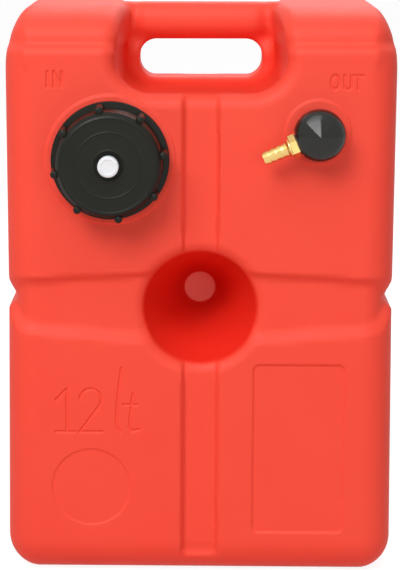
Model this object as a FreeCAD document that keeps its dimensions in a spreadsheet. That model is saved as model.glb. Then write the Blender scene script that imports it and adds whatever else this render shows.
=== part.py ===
import FreeCAD, Part
import math
import os
import Sketcher
from FreeCAD import Placement, Rotation, Vector

# Portable 12 litre outboard fuel tank, standing upright on its base.
# Millimetres. X runs to the right, Z up, and the working face with the filler and the outlet looks
# along -Y. The origin is the middle of the base, on the parting plane of the moulded shell.
# A piece that screws onto the working face is drawn about its own axis, with Z pointing out of
# the tank and zero on the working face, and its Placement turns that Z to -Y.

OUT = "parts"

SIZES = {
    # Moulded shell
    "tank_base_width": 252.0,
    "tank_top_width": 248.0,
    "tank_height": 369.0,
    "tank_depth": 160.0,
    "wall": 2.8,
    "base_corner": 24.0,
    "top_corner": 27.0,
    "edge_round": 20.0,
    "shoulder_drop": 23.0,
    "shoulder_step": 6.0,
    "shoulder_side_step": 1.5,
    "shoulder_lip": 8.0,
    # Pinched well in the middle of the tank, front and rear
    "well_height": 180.0,
    "well_mouth": 36.5,
    "well_rim": 4.0,
    "well_disc": 10.6,
    "well_pinch": 4.0,
    # Strap channel round the waist
    "strap_side": 28.6,
    "strap_centre": 46.4,
    "strap_depth": 4.0,
    # Upright channel above and below the well, front and rear
    "spine_width": 22.0,
    "spine_depth": 3.5,
    "spine_base": 19.0,
    # Handle
    "scoop_mouth": 112.0,
    "scoop_root": 97.0,
    "scoop_drop": 54.0,
    "scoop_root_drop": 51.5,
    "scoop_mouth_corner": 24.0,
    "scoop_root_corner": 16.0,
    "web": 10.0,
    "grip_height": 23.0,
    "grip_depth": 31.0,
    "grip_round": 9.0,
    "hole_width": 81.0,
    "hole_height": 26.0,
    # Label place and round mark, both sunk into the working face
    "label_left": 34.6,
    "label_width": 58.6,
    "label_base": 29.8,
    "label_height": 112.0,
    "label_corner": 4.0,
    "label_sink": 1.2,
    "mark_left": 70.0,
    "mark_base": 60.0,
    "mark_radius": 25.4,
    "mark_sink": 0.6,
    # Filler neck and cap
    "filler_left": 57.0,
    "filler_height": 274.5,
    "filler_pad_radius": 42.0,
    "filler_pad": 1.2,
    "neck_radius": 25.0,
    "neck_bore": 21.5,
    "neck_length": 24.0,
    "thread_height": 1.6,
    "thread_gap": 0.35,
    "cap_skirt": 33.0,
    "cap_flange": 37.4,
    "cap_flange_thick": 3.0,
    "cap_lift": 1.5,
    "cap_top": 3.6,
    "cap_edge": 3.4,
    "cap_dish_radius": 8.9,
    "cap_dish": 1.6,
    "cap_plug_radius": 20.5,
    "cap_plug_wall": 2.5,
    "cap_plug_length": 4.0,
    "lug_radius": 2.2,
    "lug_circle": 34.4,
    "lug_length": 18.0,
    "lug_angle": 10.0,
    "gasket": 2.4,
    # Vent screw in the middle of the cap
    "vent_head": 6.6,
    "vent_head_height": 6.0,
    "vent_round": 1.2,
    "vent_shank": 3.0,
    "vent_length": 11.5,
    "vent_seal": 1.5,
    "vent_seal_radius": 5.4,
    "vent_travel": 3.0,
    "clip_groove": 0.6,
    "clip_thick": 0.8,
    "clip_radius": 4.8,
    "run_gap": 0.05,
    # Outlet neck, head, barb and pickup
    "outlet_left": 74.0,
    "outlet_height": 292.0,
    "outlet_pad_radius": 21.5,
    "outlet_pad": 1.0,
    "outlet_neck": 11.5,
    "outlet_bore": 8.6,
    "outlet_neck_length": 7.0,
    "outlet_gasket": 1.6,
    "head_radius": 16.3,
    "head_lift": 1.2,
    "head_height": 29.5,
    "head_skirt": 14.6,
    "head_skirt_height": 7.0,
    "head_shoulder": 18.5,
    "head_facet": 15.2,
    "head_crown": 6.5,
    "spigot_radius": 4.0,
    "spigot_bore": 2.6,
    "spigot_length": 9.0,
    "barb_angle": 203.0,
    "barb_height": 15.5,
    "head_flat": 13.7,
    "barb_shank": 4.8,
    "barb_shank_length": 6.6,
    "barb_bore": 2.4,
    "barb_washer": 0.8,
    "barb_washer_radius": 6.6,
    "barb_hex": 13.0,
    "barb_hex_length": 5.0,
    "barb_core": 3.7,
    "barb_crest": 4.75,
    "barb_tooth": 4.0,
    "barb_land": 2.4,
    "tube_wall": 1.2,
    "strainer_radius": 8.0,
    "strainer_length": 22.0,
    "strainer_plate": 2.0,
    "strainer_rib": 1.6,
    "strainer_rib_inset": 0.3,
    "strainer_grip": 6.0,
    "strainer_foot_gap": 3.0,
    "strainer_mesh": 0.6,
}

LUGS = 8
FACETS = 8
TEETH = 4
RIBS = 6
OVER = 1.0          # how far a cutter runs past the face it cuts

doc = FreeCAD.newDocument("fuel_tank")
sheet = doc.addObject("Spreadsheet::Sheet", "Sizes")
for row, (name, value) in enumerate(SIZES.items(), start=1):
    sheet.set(f"A{row}", name)
    sheet.set(f"B{row}", str(value))
    sheet.setAlias(f"B{row}", name)
doc.recompute()


class Cell:
    """A size worked out from the sheet: its value now, and the expression that binds a feature to it."""

    def __init__(self, text, value):
        self.text = text
        self.value = value

    @staticmethod
    def of(other):
        return other if isinstance(other, Cell) else Cell(repr(float(other)), float(other))

    def __add__(self, other):
        other = Cell.of(other)
        return Cell(f"({self.text} + {other.text})", self.value + other.value)

    def __sub__(self, other):
        other = Cell.of(other)
        return Cell(f"({self.text} - {other.text})", self.value - other.value)

    def __mul__(self, other):
        other = Cell.of(other)
        return Cell(f"({self.text} * {other.text})", self.value * other.value)

    def __truediv__(self, other):
        other = Cell.of(other)
        return Cell(f"({self.text} / {other.text})", self.value / other.value)

    def __neg__(self):
        return Cell(f"(-1 * {self.text})", -self.value)

    __radd__ = __add__
    __rmul__ = __mul__


def size(name):
    return Cell(f"Sizes.{name}", float(sheet.get(name)))


def bind(item, path, cell):
    item.setExpression(path, Cell.of(cell).text)


# Sketches and features


def new_body(label):
    made = doc.addObject("PartDesign::Body", label)
    made.Label = label
    return made


def new_sketch(body, role, offset=None):
    """A sketch on one of the body's origin planes, raised along the plane's normal by offset."""
    made = body.newObject("Sketcher::SketchObject", body.Label + "_sketch")
    plane = next(item for item in body.Origin.OriginFeatures if item.Role == role)
    made.AttachmentSupport = [(plane, "")]
    made.MapMode = "FlatFace"
    if offset is not None:
        bind(made, "AttachmentOffset.Base.z", offset)
    return made


def pin(drawing, element, corner, x, y):
    """Holds one point of a drawing at (x, y), each bound to the sheet."""
    for kind, axis, cell in (("DistanceX", -2, x), ("DistanceY", -1, y)):
        cell = Cell.of(cell)
        if cell.value == 0:
            drawing.addConstraint(Sketcher.Constraint("PointOnObject", element, corner, axis))
            continue
        index = drawing.addConstraint(Sketcher.Constraint(kind, -1, 1, element, corner, cell.value))
        drawing.setExpression(f"Constraints[{index}]", cell.text)


def polygon(drawing, points):
    """A closed loop of straight lines through the points, each held where the sheet puts it."""
    places = [Vector(Cell.of(x).value, Cell.of(y).value, 0) for x, y in points]
    count = len(points)
    for i in range(count):
        drawing.addGeometry(Part.LineSegment(places[i], places[(i + 1) % count]), False)
    for i in range(count):
        drawing.addConstraint(Sketcher.Constraint("Coincident", i, 2, (i + 1) % count, 1))
    for i, (x, y) in enumerate(points):
        pin(drawing, i, 1, x, y)


def trough(drawing, half, base, top, radius):
    """An outline with two rounded corners at its base, and two sharp ones at its top."""
    shoulder = base + radius
    corners = [(-half, top), (-half, shoulder), (-half + radius, base), (half - radius, base)]
    corners += [(half, shoulder), (half, top)]
    places = [Vector(x.value, y.value, 0) for x, y in corners]
    for i in (0, 2, 4):
        drawing.addGeometry(Part.LineSegment(places[i], places[i + 1]), False)
    drawing.addGeometry(Part.LineSegment(places[5], places[0]), False)
    for i, (x, start) in enumerate((((-half + radius).value, math.pi), ((half - radius).value, math.pi * 1.5))):
        ring = Part.Circle(Vector(x, shoulder.value, 0), Vector(0, 0, 1), radius.value)
        arc = drawing.addGeometry(Part.ArcOfCircle(ring, start, start + math.pi / 2), False)
        drawing.addConstraint(Sketcher.Constraint("Coincident", i, 2, arc, 1))
        drawing.addConstraint(Sketcher.Constraint("Coincident", arc, 2, i + 1, 1))
        held = drawing.addConstraint(Sketcher.Constraint("Radius", arc, radius.value))
        drawing.setExpression(f"Constraints[{held}]", radius.text)
    drawing.addConstraint(Sketcher.Constraint("Coincident", 2, 2, 3, 1))
    drawing.addConstraint(Sketcher.Constraint("Coincident", 3, 2, 0, 1))
    for i, (x, y) in enumerate(corners):
        pin(drawing, i // 2, i % 2 + 1, x, y)


def pad(body, drawing, length, midplane=False):
    made = body.newObject("PartDesign::Pad", body.Label + "_pad")
    made.Profile = drawing
    bind(made, "Length", length)
    if midplane:
        made.SideType = "Symmetric"
    doc.recompute()
    return made


def revolve(label, points):
    """A solid turned about the body's Z axis from a half profile of (radius, height) points."""
    body = new_body(label)
    drawing = new_sketch(body, "XZ_Plane")
    polygon(drawing, points)
    made = body.newObject("PartDesign::Revolution", label + "_turned")
    made.Profile = drawing
    made.ReferenceAxis = (drawing, ["V_Axis"])
    made.Angle = 360
    doc.recompute()
    return body


def loft(label, role, draw, sections):
    """A solid between outlines, each given as its offset from the plane and what draw needs."""
    body = new_body(label)
    drawings = []
    for offset, *outline in sections:
        drawing = new_sketch(body, role, offset)
        draw(drawing, *outline)
        drawings.append(drawing)
    made = body.newObject("PartDesign::AdditiveLoft", label + "_loft")
    made.Profile = drawings[0]
    made.Sections = drawings[1:]
    made.Ruled = True
    doc.recompute()
    return body


def fillet(body, test, radius):
    """Rounds those edges of the body's last feature whose bounding box passes the test."""
    base = body.Tip
    names = [f"Edge{i + 1}" for i, edge in enumerate(base.Shape.Edges) if test(edge.BoundBox)]
    made = body.newObject("PartDesign::Fillet", body.Label + "_round")
    made.Base = (base, names)
    bind(made, "Radius", radius)
    doc.recompute()
    return made


def cut(label, base, *tools):
    for number, tool in enumerate(tools, start=1):
        made = doc.addObject("Part::Cut", f"{label}_less_{number}")
        made.Base = base
        made.Tool = tool
        base = made
    doc.recompute()
    return base


def fuse(label, *items):
    made = doc.addObject("Part::MultiFuse", label)
    made.Shapes = list(items)
    doc.recompute()
    return made


def common(label, *items):
    made = doc.addObject("Part::MultiCommon", label)
    made.Shapes = list(items)
    doc.recompute()
    return made


def both_sides(item):
    """The shape together with its mirror image on the rear of the tank."""
    made = doc.addObject("Part::Mirroring", item.Label + "_rear")
    made.Source = item
    made.Normal = Vector(0, 1, 0)
    return fuse(item.Label + "_pair", item, made)


def cylinder(label, radius, height, base=0.0):
    """A cylinder along Z that starts at height base."""
    made = doc.addObject("Part::Cylinder", label)
    bind(made, "Radius", radius)
    bind(made, "Height", height)
    bind(made, "Placement.Base.z", base)
    doc.recompute()
    return made


def place(item, left, out, height, rotation):
    """Puts a piece at a point of the tank: left of the middle, out from the parting plane, up."""
    item.Placement = Placement(Vector(left.value, -out.value, height.value), rotation)
    bind(item, "Placement.Base.x", left)
    bind(item, "Placement.Base.y", -out)
    bind(item, "Placement.Base.z", height)
    doc.recompute()
    return item


OUTWARDS = Rotation(Vector(1, 0, 0), 90)          # turns Z to -Y


def on_filler(item):
    return place(item, -size("filler_left"), size("tank_depth") / 2, size("filler_height"), OUTWARDS)


def on_outlet(item):
    return place(item, size("outlet_left"), size("tank_depth") / 2, size("outlet_height"), OUTWARDS)


# Tank shell: the outer form and the fuel space come from the same functions, the second one inset
# by the wall. Inside, a hollow of the outer form is larger by the wall instead.


def slab(label, top, depth, side_step, inset, rounded_top):
    """A block with the tank's front outline, its corners and its front and rear edges rounded."""
    body = new_body(label)
    low = size("tank_base_width") / 2 - inset - side_step
    high = size("tank_top_width") / 2 - inset - side_step
    roof = top - inset
    drawing = new_sketch(body, "XZ_Plane")
    polygon(drawing, [(-low, inset), (low, inset), (high, roof), (-high, roof)])
    pad(body, drawing, depth - inset * 2, midplane=True)
    middle = top.value / 2
    face = depth.value / 2 - inset.value

    def runs_back(box, above):
        return box.YLength > face and (box.ZMin > middle) == above

    def on_rim(box):
        in_face = box.YLength < 0.01 and abs(abs(box.YMin) - face) < 0.01
        is_roof = box.ZMin > roof.value - 0.01
        return in_face and (rounded_top or not is_roof)

    def on_roof_front(box):
        in_face = box.YLength < 0.01 and abs(abs(box.YMin) - face) < 0.01
        return in_face and box.ZMin > roof.value - 0.01

    fillet(body, lambda box: runs_back(box, False), size("base_corner") - inset)
    if rounded_top:
        fillet(body, lambda box: runs_back(box, True), size("top_corner") - inset)
    fillet(body, on_rim, size("edge_round") - inset)
    if not rounded_top:
        fillet(body, on_roof_front, size("shoulder_lip") - inset)
    return body


def panel(label, inset):
    top = size("tank_height") - size("shoulder_drop")
    return slab(label, top, size("tank_depth"), Cell.of(0), inset, False)


def form(label, inset):
    """The rounded body of the tank: the full depth up to the shoulders, and a thinner block above."""
    depth = size("tank_depth") - size("shoulder_step") * 2
    core = slab(label + "_core", size("tank_height"), depth, size("shoulder_side_step"), inset, True)
    return fuse(label, panel(label + "_panel", inset), core)


def well(label, grown):
    """The cone that is pinched in from the working face, about its own axis."""
    face = size("tank_depth") / 2
    bottom = size("well_pinch") / 2 - grown * 2
    mouth = size("well_mouth") + grown
    rim = size("well_rim")
    points = [(0, bottom), (size("well_disc") + grown, bottom), (mouth, face - rim), (mouth + rim, face)]
    points += [(mouth + rim, face + OVER), (0, face + OVER)]
    return both_sides(place(revolve(label, points), Cell.of(0), Cell.of(0), size("well_height"), OUTWARDS))


def strap(label, grown):
    """The channel round the waist: a bow tie seen from the front, as deep all the way round."""
    body = new_body(label + "_band")
    reach = size("tank_base_width") / 2 + OVER
    middle = size("well_height")
    side = size("strap_side") / 2 + grown
    centre = size("strap_centre") / 2 + grown
    points = [(-reach, middle - side), (0, middle - centre), (reach, middle - side)]
    points += [(reach, middle + side), (0, middle + centre), (-reach, middle + side)]
    drawing = new_sketch(body, "XZ_Plane")
    polygon(drawing, points)
    pad(body, drawing, size("tank_depth") + OVER * 2, midplane=True)
    return cut(label, body, panel(label + "_floor", grown + size("strap_depth")))


def front_block(label, left, right, base, top, sink):
    """A block sunk into the working face, open to the front."""
    body = new_body(label)
    drawing = new_sketch(body, "XZ_Plane", size("tank_depth") / 2 - sink)
    polygon(drawing, [(left, base), (right, base), (right, top), (left, top)])
    pad(body, drawing, sink + OVER)
    return body


def spine(label, grown):
    half = size("spine_width") / 2 + grown
    top = size("tank_height") - size("scoop_root_drop")
    sink = size("spine_depth") + grown
    return both_sides(front_block(label, -half, half, size("spine_base") - grown, top, sink))


def scoop(label, grown, web):
    """The hand hollow behind the working face, open at the top."""
    above = size("tank_height") + OVER * 4
    mouth = size("scoop_mouth") / 2 + grown
    root = size("scoop_root") / 2 + grown
    mouth_base = size("tank_height") - size("scoop_drop") - grown
    root_base = size("tank_height") - size("scoop_root_drop") - grown
    return both_sides(loft(label, "XZ_Plane", trough, [
        (size("tank_depth") / 2 + OVER, mouth, mouth_base, above, size("scoop_mouth_corner") + grown),
        (web, root, root_base, above, size("scoop_root_corner") + grown),
    ]))


def grip(label, inset, length):
    """The bar across the top of the hand hole."""
    body = new_body(label)
    half = size("grip_depth") / 2 - inset
    top = size("tank_height") - inset
    base = size("tank_height") - size("grip_height") + inset
    drawing = new_sketch(body, "YZ_Plane")
    polygon(drawing, [(-half, base), (half, base), (half, top), (-half, top)])
    pad(body, drawing, length, midplane=True)
    fillet(body, lambda box: box.XLength > length.value / 2, size("grip_round") - inset)
    return body


def hand_hole():
    body = new_body("hand_hole")
    half = size("hole_width") / 2
    top = size("tank_height") - size("grip_height")
    base = top - size("hole_height")
    drawing = new_sketch(body, "XZ_Plane")
    polygon(drawing, [(-half, base), (half, base), (half, top), (-half, top)])
    pad(body, drawing, size("grip_depth") * 2, midplane=True)
    depth = size("grip_depth").value
    fillet(body, lambda box: box.YLength > depth, size("hole_height") / 2.02)
    return body


def make_neck(label, pad_radius, pad_height, radius, length, bore):
    """A neck with the raised round of the working face that it stands on."""
    root = -size("wall")
    return revolve(label, [
        (bore, root), (pad_radius, root), (pad_radius, 0), (pad_radius - pad_height, pad_height),
        (radius, pad_height), (radius, length), (bore, length),
    ])


def make_filler_neck():
    return on_filler(make_neck(
        "filler_neck", size("filler_pad_radius"), size("filler_pad"), size("neck_radius"),
        size("neck_length"), size("neck_bore"),
    ))


def make_outlet_neck():
    return on_outlet(make_neck(
        "outlet_neck", size("outlet_pad_radius"), size("outlet_pad"), size("outlet_neck"),
        size("outlet_neck_length"), size("outlet_bore"),
    ))


def make_whole_shell():
    none = Cell.of(0)
    wall = size("wall")
    grip_reach = size("scoop_root") + size("wall") * 8

    outside = cut(
        "outside", form("outside_form", none), strap("outside_strap", none), spine("outside_spine", none),
        well("outside_well", none), scoop("outside_scoop", none, size("web") / 2),
    )
    outside = fuse("outside_grip_on", outside, grip("outside_grip", none, grip_reach))
    outside = cut("outside_hole", outside, hand_hole())

    fuel = cut(
        "fuel", form("fuel_form", wall), strap("fuel_strap", wall), spine("fuel_spine", wall),
        well("fuel_well", wall), scoop("fuel_scoop", wall, none),
    )
    fuel = fuse("fuel_grip_on", fuel, grip("fuel_grip", wall, grip_reach + size("wall") * 4))

    label_left = size("label_left")
    label_place = front_block(
        "label_place", label_left, label_left + size("label_width"),
        size("label_base"), size("label_base") + size("label_height"), size("label_sink"),
    )
    sink = size("label_sink").value
    fillet(label_place, lambda box: box.YLength > sink and box.ZLength < 0.01, size("label_corner"))
    mark = cylinder("round_mark", size("mark_radius"), size("mark_sink") + OVER)
    mark_out = size("tank_depth") / 2 - size("mark_sink")
    place(mark, -size("mark_left"), mark_out, size("mark_base"), OUTWARDS)

    filler_place = cylinder("filler_place", size("filler_pad_radius"), wall * 3)
    outlet_place = cylinder("outlet_place", size("outlet_pad_radius"), wall * 3)
    place_start = size("tank_depth") / 2 - wall * 2
    place(filler_place, -size("filler_left"), place_start, size("filler_height"), OUTWARDS)
    place(outlet_place, size("outlet_left"), place_start, size("outlet_height"), OUTWARDS)

    return cut("whole_shell", outside, fuel, label_place, mark, filler_place, outlet_place), fuel


def half_shell(label, whole, in_front):
    """One mould half of the shell, in front of the parting plane or behind it."""
    zone = doc.addObject("Part::Box", label + "_zone")
    reach = size("tank_base_width") + OVER
    depth = size("tank_depth") / 2 + OVER
    bind(zone, "Length", reach)
    bind(zone, "Width", depth)
    bind(zone, "Height", size("tank_height") + OVER * 2)
    bind(zone, "Placement.Base.x", reach / -2)
    bind(zone, "Placement.Base.y", -depth if in_front else Cell.of(0))
    bind(zone, "Placement.Base.z", Cell.of(-OVER))
    doc.recompute()
    return common(label, whole, zone)


# Filler cap, its gasket and the vent screw


def cap_underside():
    return size("neck_length") + size("gasket")


def make_filler_gasket():
    """A flat ring between the end of the neck and the cap."""
    low = size("neck_length")
    inner = size("cap_plug_radius") + size("thread_gap")
    outer = size("neck_radius") + size("thread_height")
    return on_filler(revolve(
        "filler_gasket", [(inner, low), (outer, low), (outer, cap_underside()), (inner, cap_underside())]
    ))


def make_filler_cap():
    under = cap_underside()
    top = under + size("cap_top")
    foot = size("filler_pad") + size("cap_lift")
    shelf = foot + size("cap_flange_thick")
    skirt = size("cap_skirt")
    bore = size("neck_radius") + size("thread_height") + size("thread_gap")
    plug = size("cap_plug_radius")
    plug_inside = plug - size("cap_plug_wall")
    plug_foot = under - size("cap_plug_length")
    hole = size("vent_shank") + size("run_gap")
    dish = size("cap_dish_radius")
    floor = top - size("cap_dish")
    edge = size("cap_edge")
    shell = revolve("cap_shell", [
        (bore, foot), (size("cap_flange"), foot), (size("cap_flange"), shelf), (skirt, shelf),
        (skirt, top - edge), (skirt - edge, top), (dish, top), (dish, floor), (hole, floor),
        (hole, under), (plug_inside, under), (plug_inside, plug_foot), (plug, plug_foot), (plug, under),
        (bore, under),
    ])
    lugs = []
    for i in range(LUGS):
        angle = math.radians(size("lug_angle").value + 360 / LUGS * i)
        lug = cylinder(f"cap_lug_{i + 1}", size("lug_radius"), size("lug_length"), shelf - OVER / 2)
        bind(lug, "Placement.Base.x", size("lug_circle") * math.cos(angle))
        bind(lug, "Placement.Base.y", size("lug_circle") * math.sin(angle))
        lugs.append(lug)
    return on_filler(fuse("filler_cap", shell, *lugs))


def vent_seat():
    """Height of the floor of the dish in the cap."""
    return cap_underside() + size("cap_top") - size("cap_dish")


def make_vent_seal():
    low = vent_seat()
    inner = size("vent_shank") + size("run_gap")
    high = low + size("vent_seal")
    radius = size("vent_seal_radius")
    return on_filler(revolve("vent_seal", [(inner, low), (radius, low), (radius, high), (inner, high)]))


def clip_top():
    """Height of the retaining clip, which meets the cap when the vent screw is fully out."""
    return cap_underside() - size("vent_travel") - size("run_gap") * 2


def make_vent_screw():
    low = vent_seat() + size("vent_seal")
    high = low + size("vent_head_height")
    head = size("vent_head")
    rounded = size("vent_round")
    shank = size("vent_shank")
    groove = shank - size("clip_groove")
    end = low - size("vent_length")
    clip_low = clip_top() - size("clip_thick")
    return on_filler(revolve("vent_screw", [
        (0, end), (shank - rounded / 2, end), (shank, end + rounded / 2), (shank, clip_low),
        (groove, clip_low), (groove, clip_top()), (shank, clip_top()), (shank, low), (head, low),
        (head, high - rounded), (head - rounded, high), (0, high),
    ]))


def make_vent_clip():
    inner = size("vent_shank") - size("clip_groove")
    low = clip_top() - size("clip_thick")
    outer = size("clip_radius")
    ring = revolve("vent_clip_ring", [(inner, low), (outer, low), (outer, clip_top()), (inner, clip_top())])
    slot = doc.addObject("Part::Box", "vent_clip_slot")
    bind(slot, "Length", outer * 2)
    bind(slot, "Width", inner)
    bind(slot, "Height", size("clip_thick") + OVER * 2)
    bind(slot, "Placement.Base.y", inner / -2)
    bind(slot, "Placement.Base.z", low - OVER)
    doc.recompute()
    return on_filler(cut("vent_clip", ring, slot))


# Outlet head, hose barb, pickup tube and strainer


def head_underside():
    return size("outlet_neck_length") + size("outlet_gasket")


def make_outlet_gasket():
    low = size("outlet_neck_length")
    inner = size("outlet_bore") - size("outlet_gasket") / 2
    outer = size("outlet_neck")
    return on_outlet(revolve(
        "outlet_gasket", [(inner, low), (outer, low), (outer, head_underside()), (inner, head_underside())]
    ))


def barb_turn():
    """Turns Z to the direction in which the barb leaves the head."""
    return Rotation(Vector(0, 1, 0), 90 - size("barb_angle").value)


def on_barb(item):
    out = size("tank_depth") / 2 + size("barb_height")
    return place(item, size("outlet_left"), out, size("outlet_height"), barb_turn())


def octagon(apothem):
    radius = apothem / math.cos(math.pi / FACETS)
    angles = [2 * math.pi / FACETS * i for i in range(FACETS)]
    return [(radius * math.cos(angle), radius * math.sin(angle)) for angle in angles]


def across(item, start):
    """Lays a piece of the head along the barb's axis, from start outwards."""
    angle = size("barb_angle").value
    turn = Rotation(Vector(0, 0, 1), angle) * Rotation(Vector(0, 1, 0), 90)
    along = math.cos(math.radians(angle)), math.sin(math.radians(angle))
    item.Placement = Placement(Vector(0, 0, 0), turn)
    bind(item, "Placement.Base.x", start * along[0])
    bind(item, "Placement.Base.y", start * along[1])
    bind(item, "Placement.Base.z", size("barb_height"))
    doc.recompute()
    return item


def make_outlet_head():
    under = head_underside()
    foot = size("outlet_pad") + size("head_lift")
    skirt = size("head_skirt")
    widest = size("head_radius")
    ledge = foot + size("head_skirt_height")
    shoulder = size("head_shoulder")
    top = size("head_height")
    crown = size("head_crown")
    bore = size("outlet_neck") + size("thread_gap")
    spigot = size("spigot_radius")
    spigot_foot = under - size("spigot_length")
    reach = size("head_flat")
    turned = revolve("head_turned", [
        (bore, foot), (skirt, foot), (skirt, ledge), (widest, ledge + widest - skirt), (widest, shoulder),
        (crown, top), (0, top), (0, spigot_foot), (spigot, spigot_foot), (spigot, under), (bore, under),
    ])
    facets = loft("head_facets", "XY_Plane", polygon, [
        (Cell.of(-OVER * 4), octagon(size("head_facet") * 1.1)),
        (shoulder, octagon(size("head_facet"))),
        (top, octagon(crown * 0.92)),
    ])
    solid = common("head_solid", turned, facets)
    flat = across(cylinder("head_flat_cutter", widest * 2, widest), reach)
    fuel_bore = cylinder(
        "head_fuel_bore", size("spigot_bore"), size("barb_height") - spigot_foot + OVER, spigot_foot - OVER
    )
    cross_bore = across(cylinder("head_cross_bore", size("barb_bore"), reach), Cell.of(0))
    depth = size("barb_shank_length") + size("run_gap") * 4
    socket = across(cylinder("head_socket", size("barb_shank") + size("run_gap"), depth + OVER), reach - depth)
    return on_outlet(cut("outlet_head", solid, flat, fuel_bore, cross_bore, socket))


def barb_seat():
    """Distance of the hexagon from the outlet's axis."""
    return size("head_flat") + size("barb_washer")


def make_barb_washer():
    inner = size("barb_shank") + size("run_gap")
    outer = size("barb_washer_radius")
    low = size("head_flat")
    return on_barb(revolve(
        "barb_washer", [(inner, low), (outer, low), (outer, barb_seat()), (inner, barb_seat())]
    ))


def make_hose_barb():
    start = size("head_flat") - size("barb_shank_length")
    hex_end = barb_seat() + size("barb_hex_length")
    bore = size("barb_bore")
    core = size("barb_core")
    crest = size("barb_crest")
    points = [(bore, start), (size("barb_shank"), start), (size("barb_shank"), hex_end), (core, hex_end)]
    tooth = hex_end + size("barb_land")
    for _ in range(TEETH):
        points += [(core, tooth), (crest, tooth)]
        tooth = tooth + size("barb_tooth")
    points += [(core, tooth), (bore, tooth)]
    turned = revolve("barb_turned", points)
    body = new_body("barb_nut")
    drawing = new_sketch(body, "XY_Plane", barb_seat())
    radius = size("barb_hex") / math.sqrt(3)
    corners = [math.pi / 3 * i for i in range(6)]
    polygon(drawing, [(radius * math.cos(angle), radius * math.sin(angle)) for angle in corners])
    pad(body, drawing, size("barb_hex_length"))
    nut = cut("barb_nut_bored", body, cylinder("barb_nut_bore", (bore + core) / 2, hex_end + OVER))
    return on_barb(fuse("hose_barb", turned, nut))


def tube_end():
    """Height of the inner end of the pickup tube, below zero because it lies inside the tank."""
    back = size("wall") - size("tank_depth")
    return back + size("strainer_foot_gap") + size("strainer_length") - size("strainer_grip")


def tube_outer():
    return size("spigot_radius") + size("run_gap") + size("tube_wall")


def make_pickup_tube():
    inner = size("spigot_radius") + size("run_gap")
    high = head_underside() - size("run_gap") * 4
    outer = tube_outer()
    return on_outlet(revolve(
        "pickup_tube", [(inner, tube_end()), (outer, tube_end()), (outer, high), (inner, high)]
    ))


def strainer_window():
    """Heights of the open part of the strainer, from its end plate to its collar."""
    low = tube_end() + size("strainer_grip") - size("strainer_length") + size("strainer_plate")
    return low, tube_end()


def make_strainer_body():
    low, high = strainer_window()
    outer = size("strainer_radius")
    grip_top = high + size("strainer_grip")
    inner = tube_outer() + size("run_gap")
    stop = size("spigot_radius")
    plate = cylinder("strainer_plate", outer, size("strainer_plate"), low - size("strainer_plate"))
    collar = revolve("strainer_collar", [
        (stop, high - size("strainer_plate")), (outer, high - size("strainer_plate")), (outer, grip_top),
        (inner, grip_top), (inner, high), (stop, high),
    ])
    ribs = []
    half = size("strainer_rib") / 2
    circle = outer - half - size("strainer_rib_inset")
    for i in range(RIBS):
        angle = 2 * math.pi / RIBS * i
        length = high - size("strainer_plate") - low + OVER
        rib = cylinder(f"strainer_rib_{i + 1}", half, length, low - OVER / 2)
        bind(rib, "Placement.Base.x", circle * math.cos(angle))
        bind(rib, "Placement.Base.y", circle * math.sin(angle))
        ribs.append(rib)
    return on_outlet(fuse("strainer_body", plate, collar, *ribs))


def make_strainer_mesh():
    low, high = strainer_window()
    high = high - size("strainer_plate")
    outer = size("strainer_radius") - size("strainer_rib_inset") - size("strainer_rib") - size("run_gap")
    inner = outer - size("strainer_mesh")
    return on_outlet(revolve("strainer_mesh", [(inner, low), (outer, low), (outer, high), (inner, high)]))


whole_shell, fuel_space = make_whole_shell()
pieces = {
    "front_shell": half_shell("front_shell", whole_shell, True),
    "rear_shell": half_shell("rear_shell", whole_shell, False),
    "filler_neck": make_filler_neck(),
    "outlet_neck": make_outlet_neck(),
    "filler_gasket": make_filler_gasket(),
    "filler_cap": make_filler_cap(),
    "vent_seal": make_vent_seal(),
    "vent_screw": make_vent_screw(),
    "vent_clip": make_vent_clip(),
    "outlet_gasket": make_outlet_gasket(),
    "outlet_head": make_outlet_head(),
    "barb_washer": make_barb_washer(),
    "hose_barb": make_hose_barb(),
    "pickup_tube": make_pickup_tube(),
    "strainer_body": make_strainer_body(),
    "strainer_mesh": make_strainer_mesh(),
}
doc.recompute()

for item in doc.Objects:
    if "Invalid" in item.State or "Error" in item.State:
        raise RuntimeError(f"{item.Label} failed: {item.State}")
os.makedirs(OUT, exist_ok=True)
for name, item in pieces.items():
    shape = item.Shape
    if shape.isNull() or not shape.isValid() or not shape.Solids:
        raise RuntimeError(f"{name} has no valid solid")
    item.Label = name
    print(f"{name}: {len(shape.Solids)} solid, {shape.Volume / 1000:.2f} cm3")
for name, item in pieces.items():
    item.Shape.exportStep(f"{OUT}/{name}.step")
print(f"brimful volume: {fuel_space.Shape.Volume / 1e6:.2f} litres")
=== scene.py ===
# %% [markdown]
# # A portable outboard fuel tank
# The tank is blow-moulded from red polyethylene. It carries a black screw cap with a white vent
# screw, and a black outlet head with a brass hose barb. The solids of the mechanism come from the
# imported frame. This lesson models the surfaces on top of them, piece by piece, and gives every
# piece its finish. All Blender lengths are metres. The drawings below are in millimetres, which is
# how such a tank is drawn, and one factor turns them into metres at the very end.

# %% Load the fixed frame
import math

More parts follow.
